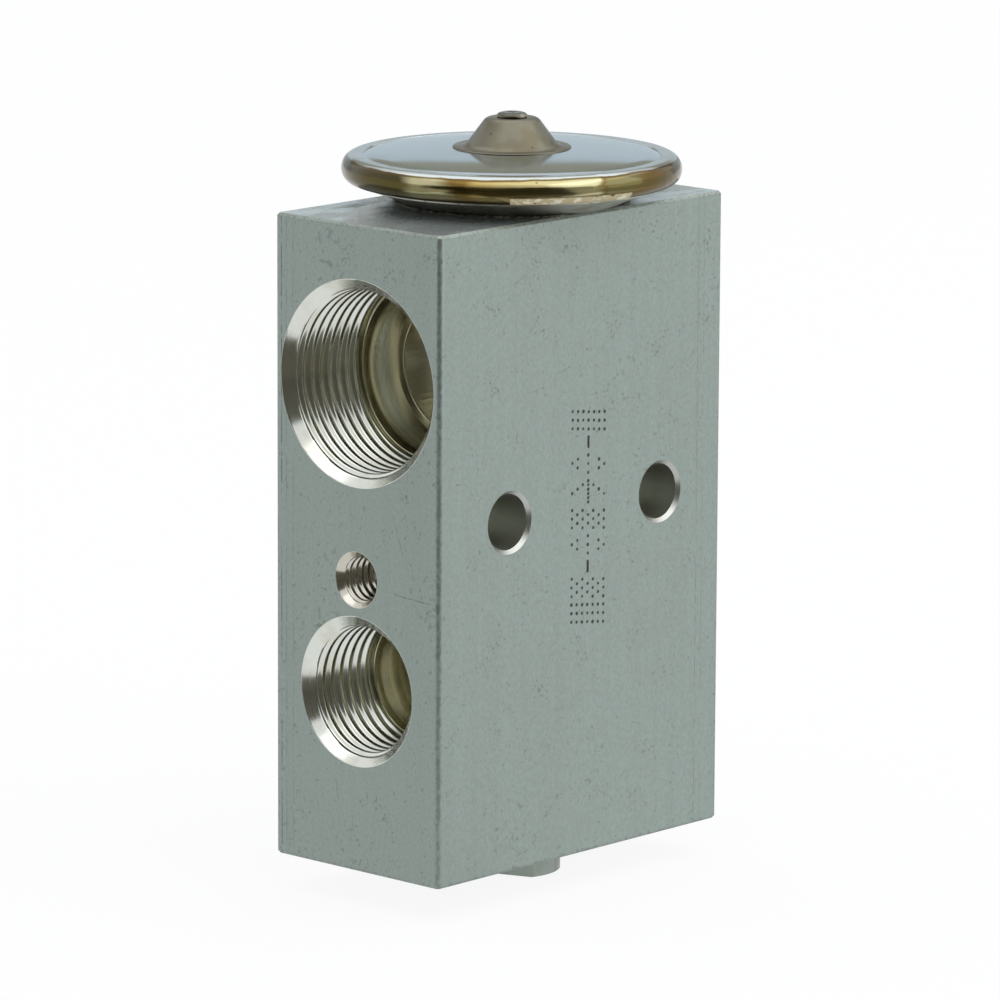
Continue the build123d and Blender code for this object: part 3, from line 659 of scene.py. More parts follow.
@dataclass(frozen=True)
class WeldTintAndPaintedReflection(Finish):
    """A weld bead in heat tints that change round the rim, with painted highlights, painted dark
    reflections and painted shade laid over them; its colour is the darkest of these colours, which
    stands for dark reflections as well as heat tinting.

    Attributes:
        centre: A point on the rim's axis, in metres.
    """

    centre: Place = (0.0, 0.0, 0.0)

    def paint(self, g: Graph, shader: bpy.types.Node, place: bpy.types.NodeSocket) -> None:
        """Feed the shader from tints round the rim with painted highlights and painted dark
        reflections, painted bands of dark reflection and shade up the bead, ripples and soot.
        """
        x, y, z = g.split(g.vector("SUBTRACT", place, self.centre).outputs[0])
        turn = g.math("ADD", g.math("DIVIDE", g.math("ARCTAN2", y, x), math.tau), 0.5)
        wander = g.use(streaks(), Vector=place, Stretch=(160.0, 160.0, 500.0), Detail=4.0)
        turn = g.math("ADD", turn, g.spread(wander, -0.008, 0.008))
        olive = self.colour
        moss = (0.18, 0.16, 0.075)
        gold = (0.36, 0.26, 0.09)
        straw = (0.43, 0.36, 0.16)
        pale = (0.47, 0.44, 0.26)
        brown = (0.12, 0.075, 0.025)
        amber = (0.17, 0.11, 0.03)
        # Stops run once round the rim from -X through -Y, +X and +Y. The pale stops, and partly
        # the straw stop, are painted highlights; the olive stops at the ends and round the back
        # are painted dark reflections; gold, amber, moss and brown are heat tints, and the brown
        # stop at 0.2055 marks where the run overlaps.
        tint_and_painted_light = g.ramp(
            turn,
            [
                (0.00, olive),
                (0.010, olive),
                (0.028, pale),
                (0.048, pale),
                (0.066, amber),
                (0.078, amber),
                (0.090, gold),
                (0.12, straw),
                (0.17, pale),
                (0.199, pale),
                (0.2055, brown),
                (0.212, moss),
                (0.24, moss),
                (0.26, amber),
                (0.30, brown),
                (0.36, olive),
                (0.55, gold),
                (0.74, amber),
                (0.84, olive),
                (1.00, olive),
            ],
        )
        level = g.math("ADD", z, g.spread(wander, -0.00008, 0.00008))
        top = g.step(level, 0.00082, 0.00090)
        below_top = g.math("SUBTRACT", 1.0, top)
        # A painted dark line just below the bead's flat top, standing for a dark reflection.
        upper_painted_dark_line = g.math("MULTIPLY", g.step(level, 0.00060, 0.00072), below_top)
        above_foot = g.step(level, -0.00088, -0.00074)
        # The waist band paints a dark reflection across the middle of the bead.
        waist = g.math("MULTIPLY", g.step(level, 0.00010, -0.00014), above_foot)
        # The foot band paints shade on the bead's underside.
        foot = g.step(level, -0.00096, -0.00108)
        tint_and_painted_light = g.blend(g.math("MULTIPLY", waist, 0.7), tint_and_painted_light, (0.10, 0.08, 0.025))
        tint_and_painted_light = g.blend(g.math("MULTIPLY", upper_painted_dark_line, 0.85), tint_and_painted_light, (0.10, 0.065, 0.025))
        tint_and_painted_light = g.blend(g.math("MULTIPLY", foot, 0.7), tint_and_painted_light, (0.10, 0.075, 0.035))
        tint_and_painted_light = g.blend(top, tint_and_painted_light, (0.44, 0.48, 0.48))
        soot = g.use(specks(), Vector=place, Scale=600.0, Size=0.3)
        tint_and_painted_light = g.blend(g.math("MULTIPLY", soot, 0.5), tint_and_painted_light, (0.08, 0.06, 0.04))
        rough = g.spread(wander, self.roughness, self.roughness + 0.10)
        self.coat(g, shader, tint_and_painted_light, rough, wander, 0.00003, 0.6)


@dataclass(frozen=True)
class Satin(Finish):
    """Drawn sheet with a soft grain round the axis, stains and dark flecks.

    Attributes:
        centre: A point on the axis, in metres.
        stain: The stains' colour.
        stained: How strong they are.
    """

    centre: Place = (0.0, 0.0, 0.0)
    stain: Colour = (0.2, 0.17, 0.12)
    stained: float = 0.5

    def paint(self, g: Graph, shader: bpy.types.Node, place: bpy.types.NodeSocket) -> None:
        """Feed the shader from grain, stains and flecks."""
        radius, level = g.around(place, self.centre)
        rings = g.use(turning(), Radius=radius, Level=level, Pitch=0.00010)
        stains = g.use(streaks(), Vector=place, Stretch=(320.0, 320.0, 320.0), Detail=5.0)
        flecks = g.use(specks(), Vector=place, Scale=900.0, Size=0.3)
        colour = g.blend(g.step(stains, 0.42, 0.68, 0.0, self.stained), self.colour, self.stain)
        colour = g.blend(g.math("MULTIPLY", flecks, 0.55), colour, (0.05, 0.045, 0.04))
        rough = g.step(stains, 0.35, 0.7, self.roughness, self.roughness + 0.12)
        height = g.math("ADD", g.math("MULTIPLY", rings, 0.5), g.math("MULTIPLY", stains, 0.5))
        self.coat(g, shader, colour, rough, height, 0.000014)


@dataclass(frozen=True)
class Moulded(Finish):
    """Rubber or cured compound: dull, uneven and lightly dusted.

    Attributes:
        lump: How deep its unevenness is, in metres.
        dusty: The colour of what sticks to it.
    """

    metallic: float = 0.0
    lump: float = 0.00003
    dusty: Colour = (0.12, 0.12, 0.10)

    def paint(self, g: Graph, shader: bpy.types.Node, place: bpy.types.NodeSocket) -> None:
        """Feed the shader from lumps and dust."""
        lumps = g.use(streaks(), Vector=place, Stretch=(1200.0, 1200.0, 1200.0), Detail=4.0)
        colour = g.blend(g.step(lumps, 0.45, 0.7), self.colour, self.dusty)
        rough = g.spread(lumps, self.roughness - 0.1, self.roughness + 0.1)
        self.coat(g, shader, colour, rough, lumps, self.lump)


# ---------------------------------------------------------------- mesh tools
def arc(centre: Point, radius: float, start: float, end: float, count: int) -> list[Point]:
    """Give points along an arc.

    Args:
        centre: The arc's centre, as (radius, level).
        radius: The arc's radius.
        start: The first point's direction, in degrees from outward, upwards positive.
        end: The last point's direction.
        count: How many points, both ends included.

    Returns:
        The points, as (radius, level).
    """
    turns = [math.radians(start + (end - start) * i / (count - 1)) for i in range(count)]
    return [(centre[0] + radius * math.cos(t), centre[1] + radius * math.sin(t)) for t in turns]


def spun(
    outline: list[Point], steps: int, turn: float = 360.0, start: float = 0.0
) -> bmesh.types.BMesh:
    """Spin a closed outline about the stem axis.

    Args:
        outline: Points as (radius, level), in millimetres.
        steps: How many steps the spin takes.
        turn: How far it turns, in degrees.
        start: The direction that it starts from, in degrees from +X.

    Returns:
        The closed shape.
    """
    bm = bmesh.new()
    centre = Vector((stem_x() * MM, 0, 0))
    corners = [bm.verts.new(centre + Vector((radius, 0, level)) * MM) for radius, level in outline]
    edges = [bm.edges.new(pair) for pair in zip(corners, corners[1:] + corners[:1])]
    spin_to_start = Matrix.Rotation(math.radians(start), 3, "Z")
    bmesh.ops.rotate(bm, verts=corners, cent=centre, matrix=spin_to_start)
    whole = turn == 360.0
    if not whole:
        bm.faces.new(corners)
    bmesh.ops.spin(
        bm,
        geom=corners + edges + list(bm.faces),
        axis=(0, 0, 1),
        cent=centre,
        angle=math.radians(turn),
        steps=steps,
        use_merge=whole,
    )
    bmesh.ops.remove_doubles(bm, verts=bm.verts, dist=FINE_MERGE)
    bmesh.ops.recalc_face_normals(bm, faces=bm.faces)
    return bm


def trim(bm: bmesh.types.BMesh, point: Vector, outward: Place, slack: float = 0.0) -> None:
    """Cut away what lies outside a plane, and leave the cut open.

    Args:
        bm: The shape.
        point: A point on the plane, in metres.
        outward: The plane's direction, towards what goes.
        slack: How near a vertex counts as on the plane, in metres.
    """
    bmesh.ops.bisect_plane(
        bm,
        geom=bm.verts[:] + bm.edges[:] + bm.faces[:],
        dist=slack,
        plane_co=point,
        plane_no=outward,
        clear_outer=True,
    )


def about_stem(vert: bmesh.types.BMVert) -> tuple[float, float, Vector]:
    """Give where a vertex lies about the stem axis.

    Args:
        vert: The vertex.

    Returns:
        Its radius in metres, its turn in radians and the direction outward.
    """
    offset = vert.co - Vector((stem_x() * MM, 0, 0))
    outward = Vector((offset.x, offset.y, 0)).normalized()
    return math.hypot(offset.x, offset.y), math.atan2(offset.y, offset.x), outward


def ragged(point: Vector) -> float:
    """Give a rough noise at a point."""
    return noise.fractal(point, 0.8, 2.0, 4)


def mesh_from(name: str, bm: bmesh.types.BMesh) -> bpy.types.Mesh:
    """Turn a bmesh into a mesh, and free it."""
    mesh = bpy.data.meshes.new(name)
    bm.to_mesh(mesh)
    bm.free()
    return mesh


def placed(name: str, data: bpy.types.ID) -> bpy.types.Object:
    """Put a mesh, lamp or camera into the scene, at the origin."""
    made = bpy.data.objects.new(name, data)
    bpy.context.scene.collection.objects.link(made)
    return made


def piece_from(
    name: str,
    bm: bmesh.types.BMesh,
    finishes: list[Finish],
    body: str,
    sharp: float = 35.0,
) -> bpy.types.Object:
    """Turn a bmesh into a finished piece that rides on a body.

    Args:
        name: The piece's name.
        bm: Its shape, in metres, which is freed.
        finishes: Its materials, in the order of its faces' indices.
        body: The CAD body that it rides on, or an empty name for a piece that is attached to none.
        sharp: Edges past this many degrees stay sharp.

    Returns:
        The piece.
    """
    mesh = mesh_from(name, bm)
    mesh.shade_smooth()
    mesh.set_sharp_from_angle(angle=math.radians(sharp))
    for finish in finishes:
        mesh.materials.append(finish.material())
    piece = placed(name, mesh)
    if body:
        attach(piece, body)
    LOG.info("%s: %d faces on %s", name, len(mesh.polygons), body or "two bodies")
    return piece


def merged_copy(node: str) -> bmesh.types.BMesh:
    """Copy a CAD node's mesh with its loose triangles joined."""
    bm = bmesh.new()
    bm.from_mesh(frame["nodes"][node].data)
    bmesh.ops.remove_doubles(bm, verts=bm.verts, dist=COARSE_MERGE)
    return bm


def dress(node: str, finish: Finish) -> None:
    """Give a CAD node that stays as it is a new material.

    Args:
        node: The node's name.
        finish: Its finish.
    """
    materials = frame["nodes"][node].data.materials
    materials.clear()
    materials.append(finish.material())
    LOG.info("%s: dressed in %s", node, finish.name)


# ---------------------------------------------------------------- block
@dataclass(frozen=True)
class Thread:
    """An internal right-hand thread, cut from an end face, in millimetres.

    Attributes:
        name: The piece's name.
        side: The face that it opens on.
        level: Its axis's level.
        major: Its radius at the roots.
        minor: Its radius at the crests.
        pitch: From one crest to the next.
        flare: The mouth's 45 degree chamfer, past the roots.
        depth: How deep it runs.
        rows: How many rows of vertices one pitch has.
        crest: The crest's flat, as a share of the pitch.
        root: The root's flat, as a share of the pitch.
        cut: How deep it is cut, as a share of its full height.
        skin: How far its outer skin lies outside the mouth.
        lap: How far it keeps from the face and from its full depth.
        proud: How far its mouth stands inside the block's own.
    """

    name: str
    side: Side
    level: float
    major: float
    minor: float
    pitch: float
    flare: float
    depth: float
    rows: int = 16
    crest: float = 0.26
    root: float = 0.10
    cut: float = 0.62
    skin: float = 0.1
    lap: float = 0.02
    proud: float = 0.03

    def profile(self) -> list[Point]:
        """Give one pitch of the rounded thread, as (share of the pitch, share of the height)."""
        flank = 1 - self.crest - self.root
        points = []
        for row in range(self.rows):
            share = row / self.rows
            down = min(1.0, max(0.0, (abs(2 * share - 1) - self.crest) / flank))
            points.append((share, 1 - down * down * (3 - 2 * down)))
        return points

    def build(self, steps: int = 128) -> bmesh.types.BMesh:
        """Build the thread as a sleeve whose outer skin is sunk in the block.

        Args:
            steps: How many steps one turn takes.

        Returns:
            The closed sleeve.
        """
        face = self.side.value * high("valve_body").x
        end = self.depth - self.lap
        turns = math.ceil((end - self.lap) / self.pitch) + 3

        bm = bmesh.new()
        row = []
        for tooth in range(turns):
            for share, height in self.profile():
                depth = self.lap + (tooth - 2 + share) * self.pitch
                radius = self.minor + (1 - height) * self.cut * (self.major - self.minor)
                x = face - self.side.value * depth
                row.append(bm.verts.new(Vector((x, radius, self.level)) * MM))
        edges = [bm.edges.new(pair) for pair in zip(row, row[1:])]
        bmesh.ops.spin(
            bm,
            geom=row + edges,
            axis=(1, 0, 0),
            cent=Vector((0, 0, self.level)) * MM,
            dvec=(self.pitch * MM / steps, 0, 0),
            angle=math.tau,
            steps=steps,
        )
        bmesh.ops.remove_doubles(bm, verts=bm.verts, dist=COARSE_MERGE)
        for depth, outward in ((self.lap, self.side.value), (end, -self.side.value)):
            plane = Vector((face - self.side.value * depth, 0, 0)) * MM
            trim(bm, plane, (outward, 0, 0), 1e-8)
        self.flare_mouth(bm, face)
        self.close_outside(bm, self.major + self.flare + self.skin)
        return bm

    def flare_mouth(self, bm: bmesh.types.BMesh, face: float) -> None:
        """Cut the mouth's cone through the first crests, a hair proud of the block's own."""
        for vert in bm.verts:
            depth = abs(vert.co.x / MM - face)
            across = Vector((0, vert.co.y, vert.co.z - self.level * MM))
            least = (self.major + self.flare - self.proud - depth) * MM
            if across.length < least:
                across *= least / across.length
                vert.co.y = across.y
                vert.co.z = across.z + self.level * MM

    def close_outside(self, bm: bmesh.types.BMesh, outer: float) -> None:
        """Fold both ends outwards and join them with an outer skin."""
        rims = [edge for edge in bm.edges if edge.is_boundary]
        made = bmesh.ops.extrude_edge_only(bm, edges=rims)["geom"]
        for vert in (item for item in made if isinstance(item, bmesh.types.BMVert)):
            across = Vector((0, vert.co.y, vert.co.z - self.level * MM))
            across *= outer * MM / across.length
            vert.co.y = across.y
            vert.co.z = across.z + self.level * MM
        outer_rims = [item for item in made if isinstance(item, bmesh.types.BMEdge)]
        bmesh.ops.bridge_loops(bm, edges=outer_rims)
        bmesh.ops.recalc_face_normals(bm, faces=bm.faces)


@dataclass(frozen=True)
class PortSeat:
    """A port past its thread: relief bore, seal seat, pilot bore and perhaps a last ledge.

    Attributes:
        name: The piece's name.
        side: The face that it opens on.
        level: Its axis's level.
        major: The radius at the thread's roots.
        thread_depth: How deep the thread runs.
        drill_step: How much smaller in radius the relief bore is.
        relief: The relief bore's length.
        seat: The seat cone's length and step.
        pilot: The pilot bore's length.
        taper: How much narrower the pilot bore ends.
        passage: The radius past the last ledge, or 0 where there is none.
        proud: How far it stands inside the block's own bore, past that bore's flats.
        wall: How far its outside lies in the block.
        edge: The round at the foot of each step.
        lip_slopes: The least and the most that a lip's faces lean from the axis.
    """

    name: str
    side: Side
    level: float
    major: float
    thread_depth: float
    drill_step: float
    relief: float
    seat: float
    pilot: float
    taper: float
    passage: float = 0.0
    proud: float = 0.06
    wall: float = 0.1
    edge: float = 0.14
    lip_slopes: Point = (0.3, 0.98)

    def outline(self) -> list[Point]:
        """Give the liner's section, a hair proud of the block's own bore, as (depth, radius)."""
        proud, wall, edge = self.proud, self.wall, self.edge
        bore = self.major - self.drill_step
        relief_end = self.thread_depth + self.relief
        seat_end = relief_end + self.seat
        pilot_end = seat_end + self.pilot
        pilot_radius = bore - self.seat - self.taper
        start = self.thread_depth - proud
        inner = [(start, self.major)]
        inner += arc((start + edge, bore - proud + edge), edge, 180.0, 270.0, 6)
        inner += [(relief_end, bore - proud), (seat_end, bore - self.seat - proud)]
        outer = [(relief_end + wall, bore + wall), (self.thread_depth + wall, bore + wall)]
        outer += [(self.thread_depth + wall, self.major)]
        last = pilot_end - proud
        inner += [(last, pilot_radius - proud)]
        if not self.passage:
            return inner + [(last, pilot_radius + wall)] + outer
        inner += arc((last + edge, self.passage - proud + edge), edge, 180.0, 270.0, 6)
        end = pilot_end + 3 * wall
        inner += [(end, self.passage - proud), (end, self.passage + wall)]
        ledge = [(pilot_end + wall, self.passage + wall), (pilot_end + wall, pilot_radius + wall)]
        return inner + ledge + outer

    def build(self, steps: int = 160) -> bmesh.types.BMesh:
        """Spin the section about the port's axis.

        Args:
            steps: How many steps the spin takes.

        Returns:
            The closed liner.
        """
        face = self.side.value * high("valve_body").x
        bm = bmesh.new()
        row = []
        for depth, radius in self.outline():
            place = Vector((face - self.side.value * depth, radius, self.level))
            row.append(bm.verts.new(place * MM))
        edges = [bm.edges.new(pair) for pair in zip(row, row[1:] + row[:1])]
        bmesh.ops.spin(
            bm,
            geom=row + edges,
            axis=(1, 0, 0),
            cent=Vector((0, 0, self.level)) * MM,
            angle=math.tau,
            steps=steps,
            use_merge=True,
        )
        bmesh.ops.remove_doubles(bm, verts=bm.verts, dist=FINE_MERGE)
        bmesh.ops.recalc_face_normals(bm, faces=bm.faces)
        least, most = self.lip_slopes
        for skin in bm.faces:
            skin.material_index = int(least < abs(skin.normal.x) < most)
        return bm


class Symbol(Enum):
    """A plain symbol of peened dots: seven dots across in each row, from its foot up."""

    DASH = ("...#...",) * 5
    HATCH = ("#.#.#.#", ".#.#.#.", "#.#.#.#", ".#.#.#.", "#.#.#.#")
    DIAMOND = ("...#...", ".#...#.", "#..#..#", ".#...#.", "...#...")
    BARS = ("#######", ".......", "#######", ".......", "#######")
    ARROW = ("...#...", "...#...", "#..#..#", ".#.#.#.", "..###..", "...#...")


@dataclass
class PeenedMarks:
    """A column of plain symbols in small peened dots on the block's front face, each dot a dark
    disc that paints the shade in its crater.

    Sizes are in millimetres.
    """

    left: float = -1.78
    foot: float = 31.3
    column: float = 0.90
    row: float = 0.50
    slope: float = 0.12
    gap: float = 1.9
    dash_row: float = 0.55
    dot: float = 0.20
    unevenness: float = 0.25
    shake: float = 0.05
    seed: int = 1
    proud: float = 0.004
    symbols: tuple[Symbol, ...] = (
        Symbol.BARS,
        Symbol.HATCH,
        Symbol.DASH,
        Symbol.DIAMOND,
        Symbol.HATCH,
        Symbol.ARROW,
        Symbol.DIAMOND,
        Symbol.DASH,
        Symbol.BARS,
    )

    def dots(self) -> list[Point]:
        """Give each dot's (column, row) place, counted from the lower left."""
        places = []
        foot = 0.0
        for symbol in self.symbols:
            rise = self.dash_row if symbol is Symbol.DASH else 1.0
            for row, pattern in enumerate(symbol.value):
                columns = [column for column, dot in enumerate(pattern) if dot == "#"]
                places += [(column, foot + row * rise) for column in columns]
            foot += (len(symbol.value) - 1) * rise + self.gap
        return places

    def build(self) -> bmesh.types.BMesh:
        """Build each dot as a thin dark disc of painted crater shade, with the same unevenness on
        every run.
        """
        noise.seed_set(self.seed)
        bm = bmesh.new()
        face = low("valve_body").y
        turn = Matrix.Rotation(math.radians(90), 4, "X")
        for column, row in self.dots():
            x = self.left + self.column * column
            z = self.foot + self.row * row - self.slope * column
            shake = noise.noise_vector(Vector((column * 3.1, row * 1.7, 0.5))) * self.shake
            place = Vector((x + shake.x, face - self.proud, z + shake.z)) * MM
            size = self.dot * (1 + self.unevenness * shake.y / self.shake)
            bmesh.ops.create_circle(
                bm,
                cap_ends=True,
                segments=14,
                radius=size * MM,
                matrix=Matrix.Translation(place) @ turn,
            )
        bmesh.ops.recalc_face_normals(bm, faces=bm.faces)
        return bm


class Region(Enum):
    """A part of the block's surface, as the index of its finish."""

    SKIN = 0
    ENDS = 1
    SUCTION_BORE = 2
    INLET_BORE = 3
    OUTLET_BORE = 4
    CLAMP_BORE = 5
    BOLT_BORES = 6
    STEM_BORES = 7
    SUCTION_PASSAGE = 8
    LIQUID_PASSAGES = 9
    BOLT_MOUTHS = 10
    SEAT_LIPS = 11


@dataclass
class ValveBlock:
    """The ported aluminium block with its threads and marks, in millimetres."""

    port_pitch: float = 25.4 / 18
    port_thread_height: float = 0.7625
    port_flare: float = 0.72
    suction_depth: float = 11.4
    liquid_depth: float = 10.2
    suction_taper: float = 0.9125
    passage_radius: float = 7.55
    liquid_taper: float = 0.3
    inlet_pilot: float = 4.6
    outlet_pilot: float = 1.6
    clamp_pitch: float = 1.0
    clamp_thread_height: float = 0.54
    clamp_flare: float = 0.25
    clamp_depth: float = 8.0
    corner_band: float = 0.62
    edge_band: float = 0.31
    face_slack: float = 0.005
    bolt_flare: float = 0.45
    bolt_slack: float = 0.5
    suction_slack: float = 1.0
    gallery_floor: float = 71.3
    stem_bore: float = 6.1
    stem_bore_crest: float = 49.1
    square_normal: float = 0.99999
    ports: dict[str, Point] = field(default_factory=dict)
    bolts: tuple[float, float, tuple[float, ...]] = (0.0, 0.0, ())

    def __post_init__(self) -> None:
        """Read each bore's level and radius, and the bolt holes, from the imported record."""
        for mount in frame["record"]["mounts"]:
            dims, place = mount.get("dims", {}), mount["pos_m"]
            if "r_mm" in dims:
                self.ports[mount["name"]] = (place[2] / MM, dims["r_mm"])
            if "hole_r_mm" in dims:
                reach = dims["spacing_x_mm"] / 2
                middles = (place[0] / MM - reach, place[0] / MM + reach)
                self.bolts = (place[2] / MM, dims["hole_r_mm"], middles)

    def skin(self) -> ExtrudedSkin:
        """Give the finish of the drawn sides."""
        lowest, highest = low("valve_body") * MM, high("valve_body") * MM
        left, front = lowest.x, lowest.y
        lines = (
            DieLine(1, 0.0117, 0.75),
            DieLine(1, 0.01095, 0.35),
            DieLine(1, 0.0099, 0.3),
            DieLine(0, 0.0196, 0.3),
            DieLine(0, 0.0206, 0.2),
        )
        scratches = (
            Scratch((left, -0.0060, 0.0368), (0.0, -0.0053, -0.0003), 0.5),
            Scratch((left, -0.0055, 0.0459), (0.0, -0.0017, -0.0045), 0.25),
            Scratch((left, 0.0032, 0.0141), (0.0, -0.0004, -0.0022), 0.35),
            Scratch((-0.0118, front, 0.0712), (0.0021, 0.0, 0.0009), 0.3),
            Scratch((-0.0090, front, 0.0655), (0.0012, 0.0, 0.0013), 0.3),
            Scratch((-0.0040, front, 0.0602), (0.0016, 0.0, 0.0006), 0.35),
            Scratch((0.0085, front, 0.0180), (0.0019, 0.0, -0.0005), 0.2),
        )
        middle, half = (lowest + highest) / 2, (highest - lowest) / 2
        return ExtrudedSkin(
            "block_skin",
            (0.292, 0.343, 0.318),
            0.5,
            0.8,
            tuple(middle),
            tuple(half),
            lines,
            scratches,
        )

    def bore(
        self,
        name: str,
        level: float,
        colour: Colour = (0.67, 0.695, 0.65),
        roughness: float = 0.15,
        spindle: Spindle = Spindle.ALONG_X,
    ) -> Turned:
        """Give the finish of a bore.

        Args:
            name: The material's name.
            level: The bore's axis, in millimetres.
            colour: Its colour.
            roughness: Its roughness.
            spindle: The bore's direction.

        Returns:
            The finish.
        """
        return Turned(
            name,
            colour,
            roughness,
            spindle=spindle,
            centre=(stem_x() * MM, 0.0, level * MM),
            depth=0.000003,
            stain=(0.45, 0.40, 0.28),
            stained=0.3,
        )

    def finishes(self) -> dict[Region, Finish]:
        """Give the finish of each region, in the order of their indices."""
        suction, inlet, outlet, clamp = (
            self.ports[mount][0]
            for mount in ("suction_inlet", "liquid_inlet", "liquid_outlet", "clamp_screw")
        )
        bolts, across = self.bolts[0], Spindle.ALONG_Y
        olive = (0.56, 0.54, 0.39)
        return {
            Region.SKIN: self.skin(),
            Region.ENDS: MilledFace("block_ends", (0.47, 0.52, 0.505), 0.19, 0.62),
            Region.SUCTION_BORE: self.bore("suction_bore", suction),
            Region.INLET_BORE: self.bore("inlet_bore", inlet),
            Region.OUTLET_BORE: self.bore("outlet_bore", outlet),
            Region.CLAMP_BORE: self.bore("clamp_bore", clamp, (0.56, 0.55, 0.49)),
            Region.BOLT_BORES: self.bore("bolt_bores", bolts, (0.65, 0.67, 0.61), 0.4, across),
            Region.STEM_BORES: self.bore("stem_bores", 0.0, olive, 0.25, Spindle.ALONG_Z),
            Region.SUCTION_PASSAGE: self.bore("suction_passage", suction, olive, 0.22),
            Region.LIQUID_PASSAGES: self.bore("liquid_passages", inlet, olive, 0.22),
            Region.BOLT_MOUTHS: self.bore("bolt_mouths", bolts, (0.47, 0.49, 0.47), 0.34, across),
            Region.SEAT_LIPS: self.bore("seat_lips", suction, (0.52, 0.51, 0.40), 0.2),
        }

    def build(self) -> None:
        """Build the block, its threads, its port seats and its marks."""
        finishes = self.finishes()
        bm = merged_copy("valve_body")
        for face in bm.faces:
            face.material_index = self.region(face.calc_center_median() / MM).value
        block = piece_from(
            "block", bm, list(finishes.values()), "valve_body", 28.0
        )
        for side in block.data.polygons:
            if max(abs(part) for part in side.normal) > self.square_normal:
                side.use_smooth = False
        flat = block.modifiers.new("flat_faces", "WEIGHTED_NORMAL")
        flat.mode = "FACE_AREA"
        flat.weight = 100
        flat.keep_sharp = True
        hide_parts("valve_body")
        self.threads(finishes)
        self.seats(finishes)
        # The dots' material is painted shade standing for the peened craters.
        dots = Moulded(
            "peen_crater_painted_shade",
            (0.03, 0.033, 0.028),
            0.6,
            0.2,
            lump=0.000004,
            dusty=(0.055, 0.06, 0.05),
        )
        marks = PeenedMarks().build()
        piece_from("peened_marks", marks, [dots], "valve_body")

    def lower_edge(self, mount: str) -> float:
        """Give the level of a bore's lower edge."""
        level, radius = self.ports[mount]
        return level - radius

    def region(self, point: Vector) -> Region:
        """Choose the region of one face of the block.

        Args:
            point: The face's middle, in millimetres.

        Returns:
            The region.
        """
        lowest, highest = low("valve_body"), high("valve_body")
        inward = [min(point[i] - lowest[i], highest[i] - point[i]) for i in range(3)]
        nearest = min(inward[0], inward[1])
        if max(inward[0], inward[1]) < self.corner_band or nearest < self.face_slack:
            return Region.SKIN
        if inward[2] < self.face_slack:
            return Region.ENDS
        if inward[2] < self.edge_band and nearest < self.edge_band:
            return Region.SKIN
        level, radius, middles = self.bolts
        reach = radius + self.bolt_slack
        if abs(point.z - level) < reach and min(abs(point.x - x) for x in middles) < reach:
            return Region.BOLT_MOUTHS if inward[1] < self.bolt_flare else Region.BOLT_BORES
        if point.z > self.gallery_floor:
            return Region.STEM_BORES
        if abs(point.x - stem_x()) < self.stem_bore and point.z < self.stem_bore_crest:
            return Region.STEM_BORES
        if point.z > self.lower_edge("suction_inlet") - self.suction_slack:
            threaded = inward[0] < self.suction_depth
            return Region.SUCTION_BORE if threaded else Region.SUCTION_PASSAGE
        threaded = inward[0] < self.liquid_depth
        if point.x > 0:
            return Region.OUTLET_BORE if threaded else Region.LIQUID_PASSAGES
        if point.z > self.lower_edge("clamp_screw") - self.clamp_flare:
            return Region.CLAMP_BORE
        return Region.INLET_BORE if threaded else Region.LIQUID_PASSAGES

    def threads(self, finishes: dict[Region, Finish]) -> None:
        """Build the threads of all tapped ports.

        Args:
            finishes: The block's finishes.
        """
        port = (self.port_thread_height, self.port_pitch, self.port_flare)
        clamp = (self.clamp_thread_height, self.clamp_pitch, self.clamp_flare)
        for mount, side, (height, pitch, flare), depth, region in (
            ("suction_outlet", Side.PIPES, port, self.suction_depth, Region.SUCTION_BORE),
            ("suction_inlet", Side.EVAPORATOR, port, self.suction_depth, Region.SUCTION_BORE),
            ("liquid_inlet", Side.PIPES, port, self.liquid_depth, Region.INLET_BORE),
            ("liquid_outlet", Side.EVAPORATOR, port, self.liquid_depth, Region.OUTLET_BORE),
            ("clamp_screw", Side.PIPES, clamp, self.clamp_depth, Region.CLAMP_BORE),
        ):
            level, radius = self.ports[mount]
            name = f"{mount}_thread"
            thread = Thread(name, side, level, radius, radius - height, pitch, flare, depth)
            skins = [finishes[region]]
            piece_from(name, thread.build(), skins, "valve_body", 65.0)

    def seats(self, finishes: dict[Region, Finish]) -> None:
        """Build the smooth inner ends of the four ports.

        Args:
            finishes: The block's finishes.
        """
        suction = {
            "thread_depth": self.suction_depth,
            "drill_step": 1.1,
            "relief": 1.5,
            "seat": 0.6,
            "pilot": 2.1,
            "taper": self.suction_taper,
            "passage": self.passage_radius,
        }
        liquid = {
            "thread_depth": self.liquid_depth,
            "drill_step": 1.0,
            "relief": 1.2,
            "seat": 0.5,
            "taper": self.liquid_taper,
            "proud": 0.15,
        }
        inlet = {**liquid, "pilot": self.inlet_pilot}
        outlet = {**liquid, "pilot": self.outlet_pilot}
        for mount, side, sizes, region in (
            ("suction_outlet", Side.PIPES, suction, Region.SUCTION_PASSAGE),
            ("suction_inlet", Side.EVAPORATOR, suction, Region.SUCTION_PASSAGE),
            ("liquid_inlet", Side.PIPES, inlet, Region.LIQUID_PASSAGES),
            ("liquid_outlet", Side.EVAPORATOR, outlet, Region.LIQUID_PASSAGES),
        ):
            seat = PortSeat(f"{mount}_seat", side, *self.ports[mount], **sizes)
            pair = [finishes[region], finishes[Region.SEAT_LIPS]]
            piece_from(seat.name, seat.build(), pair, "valve_body", 50.0)


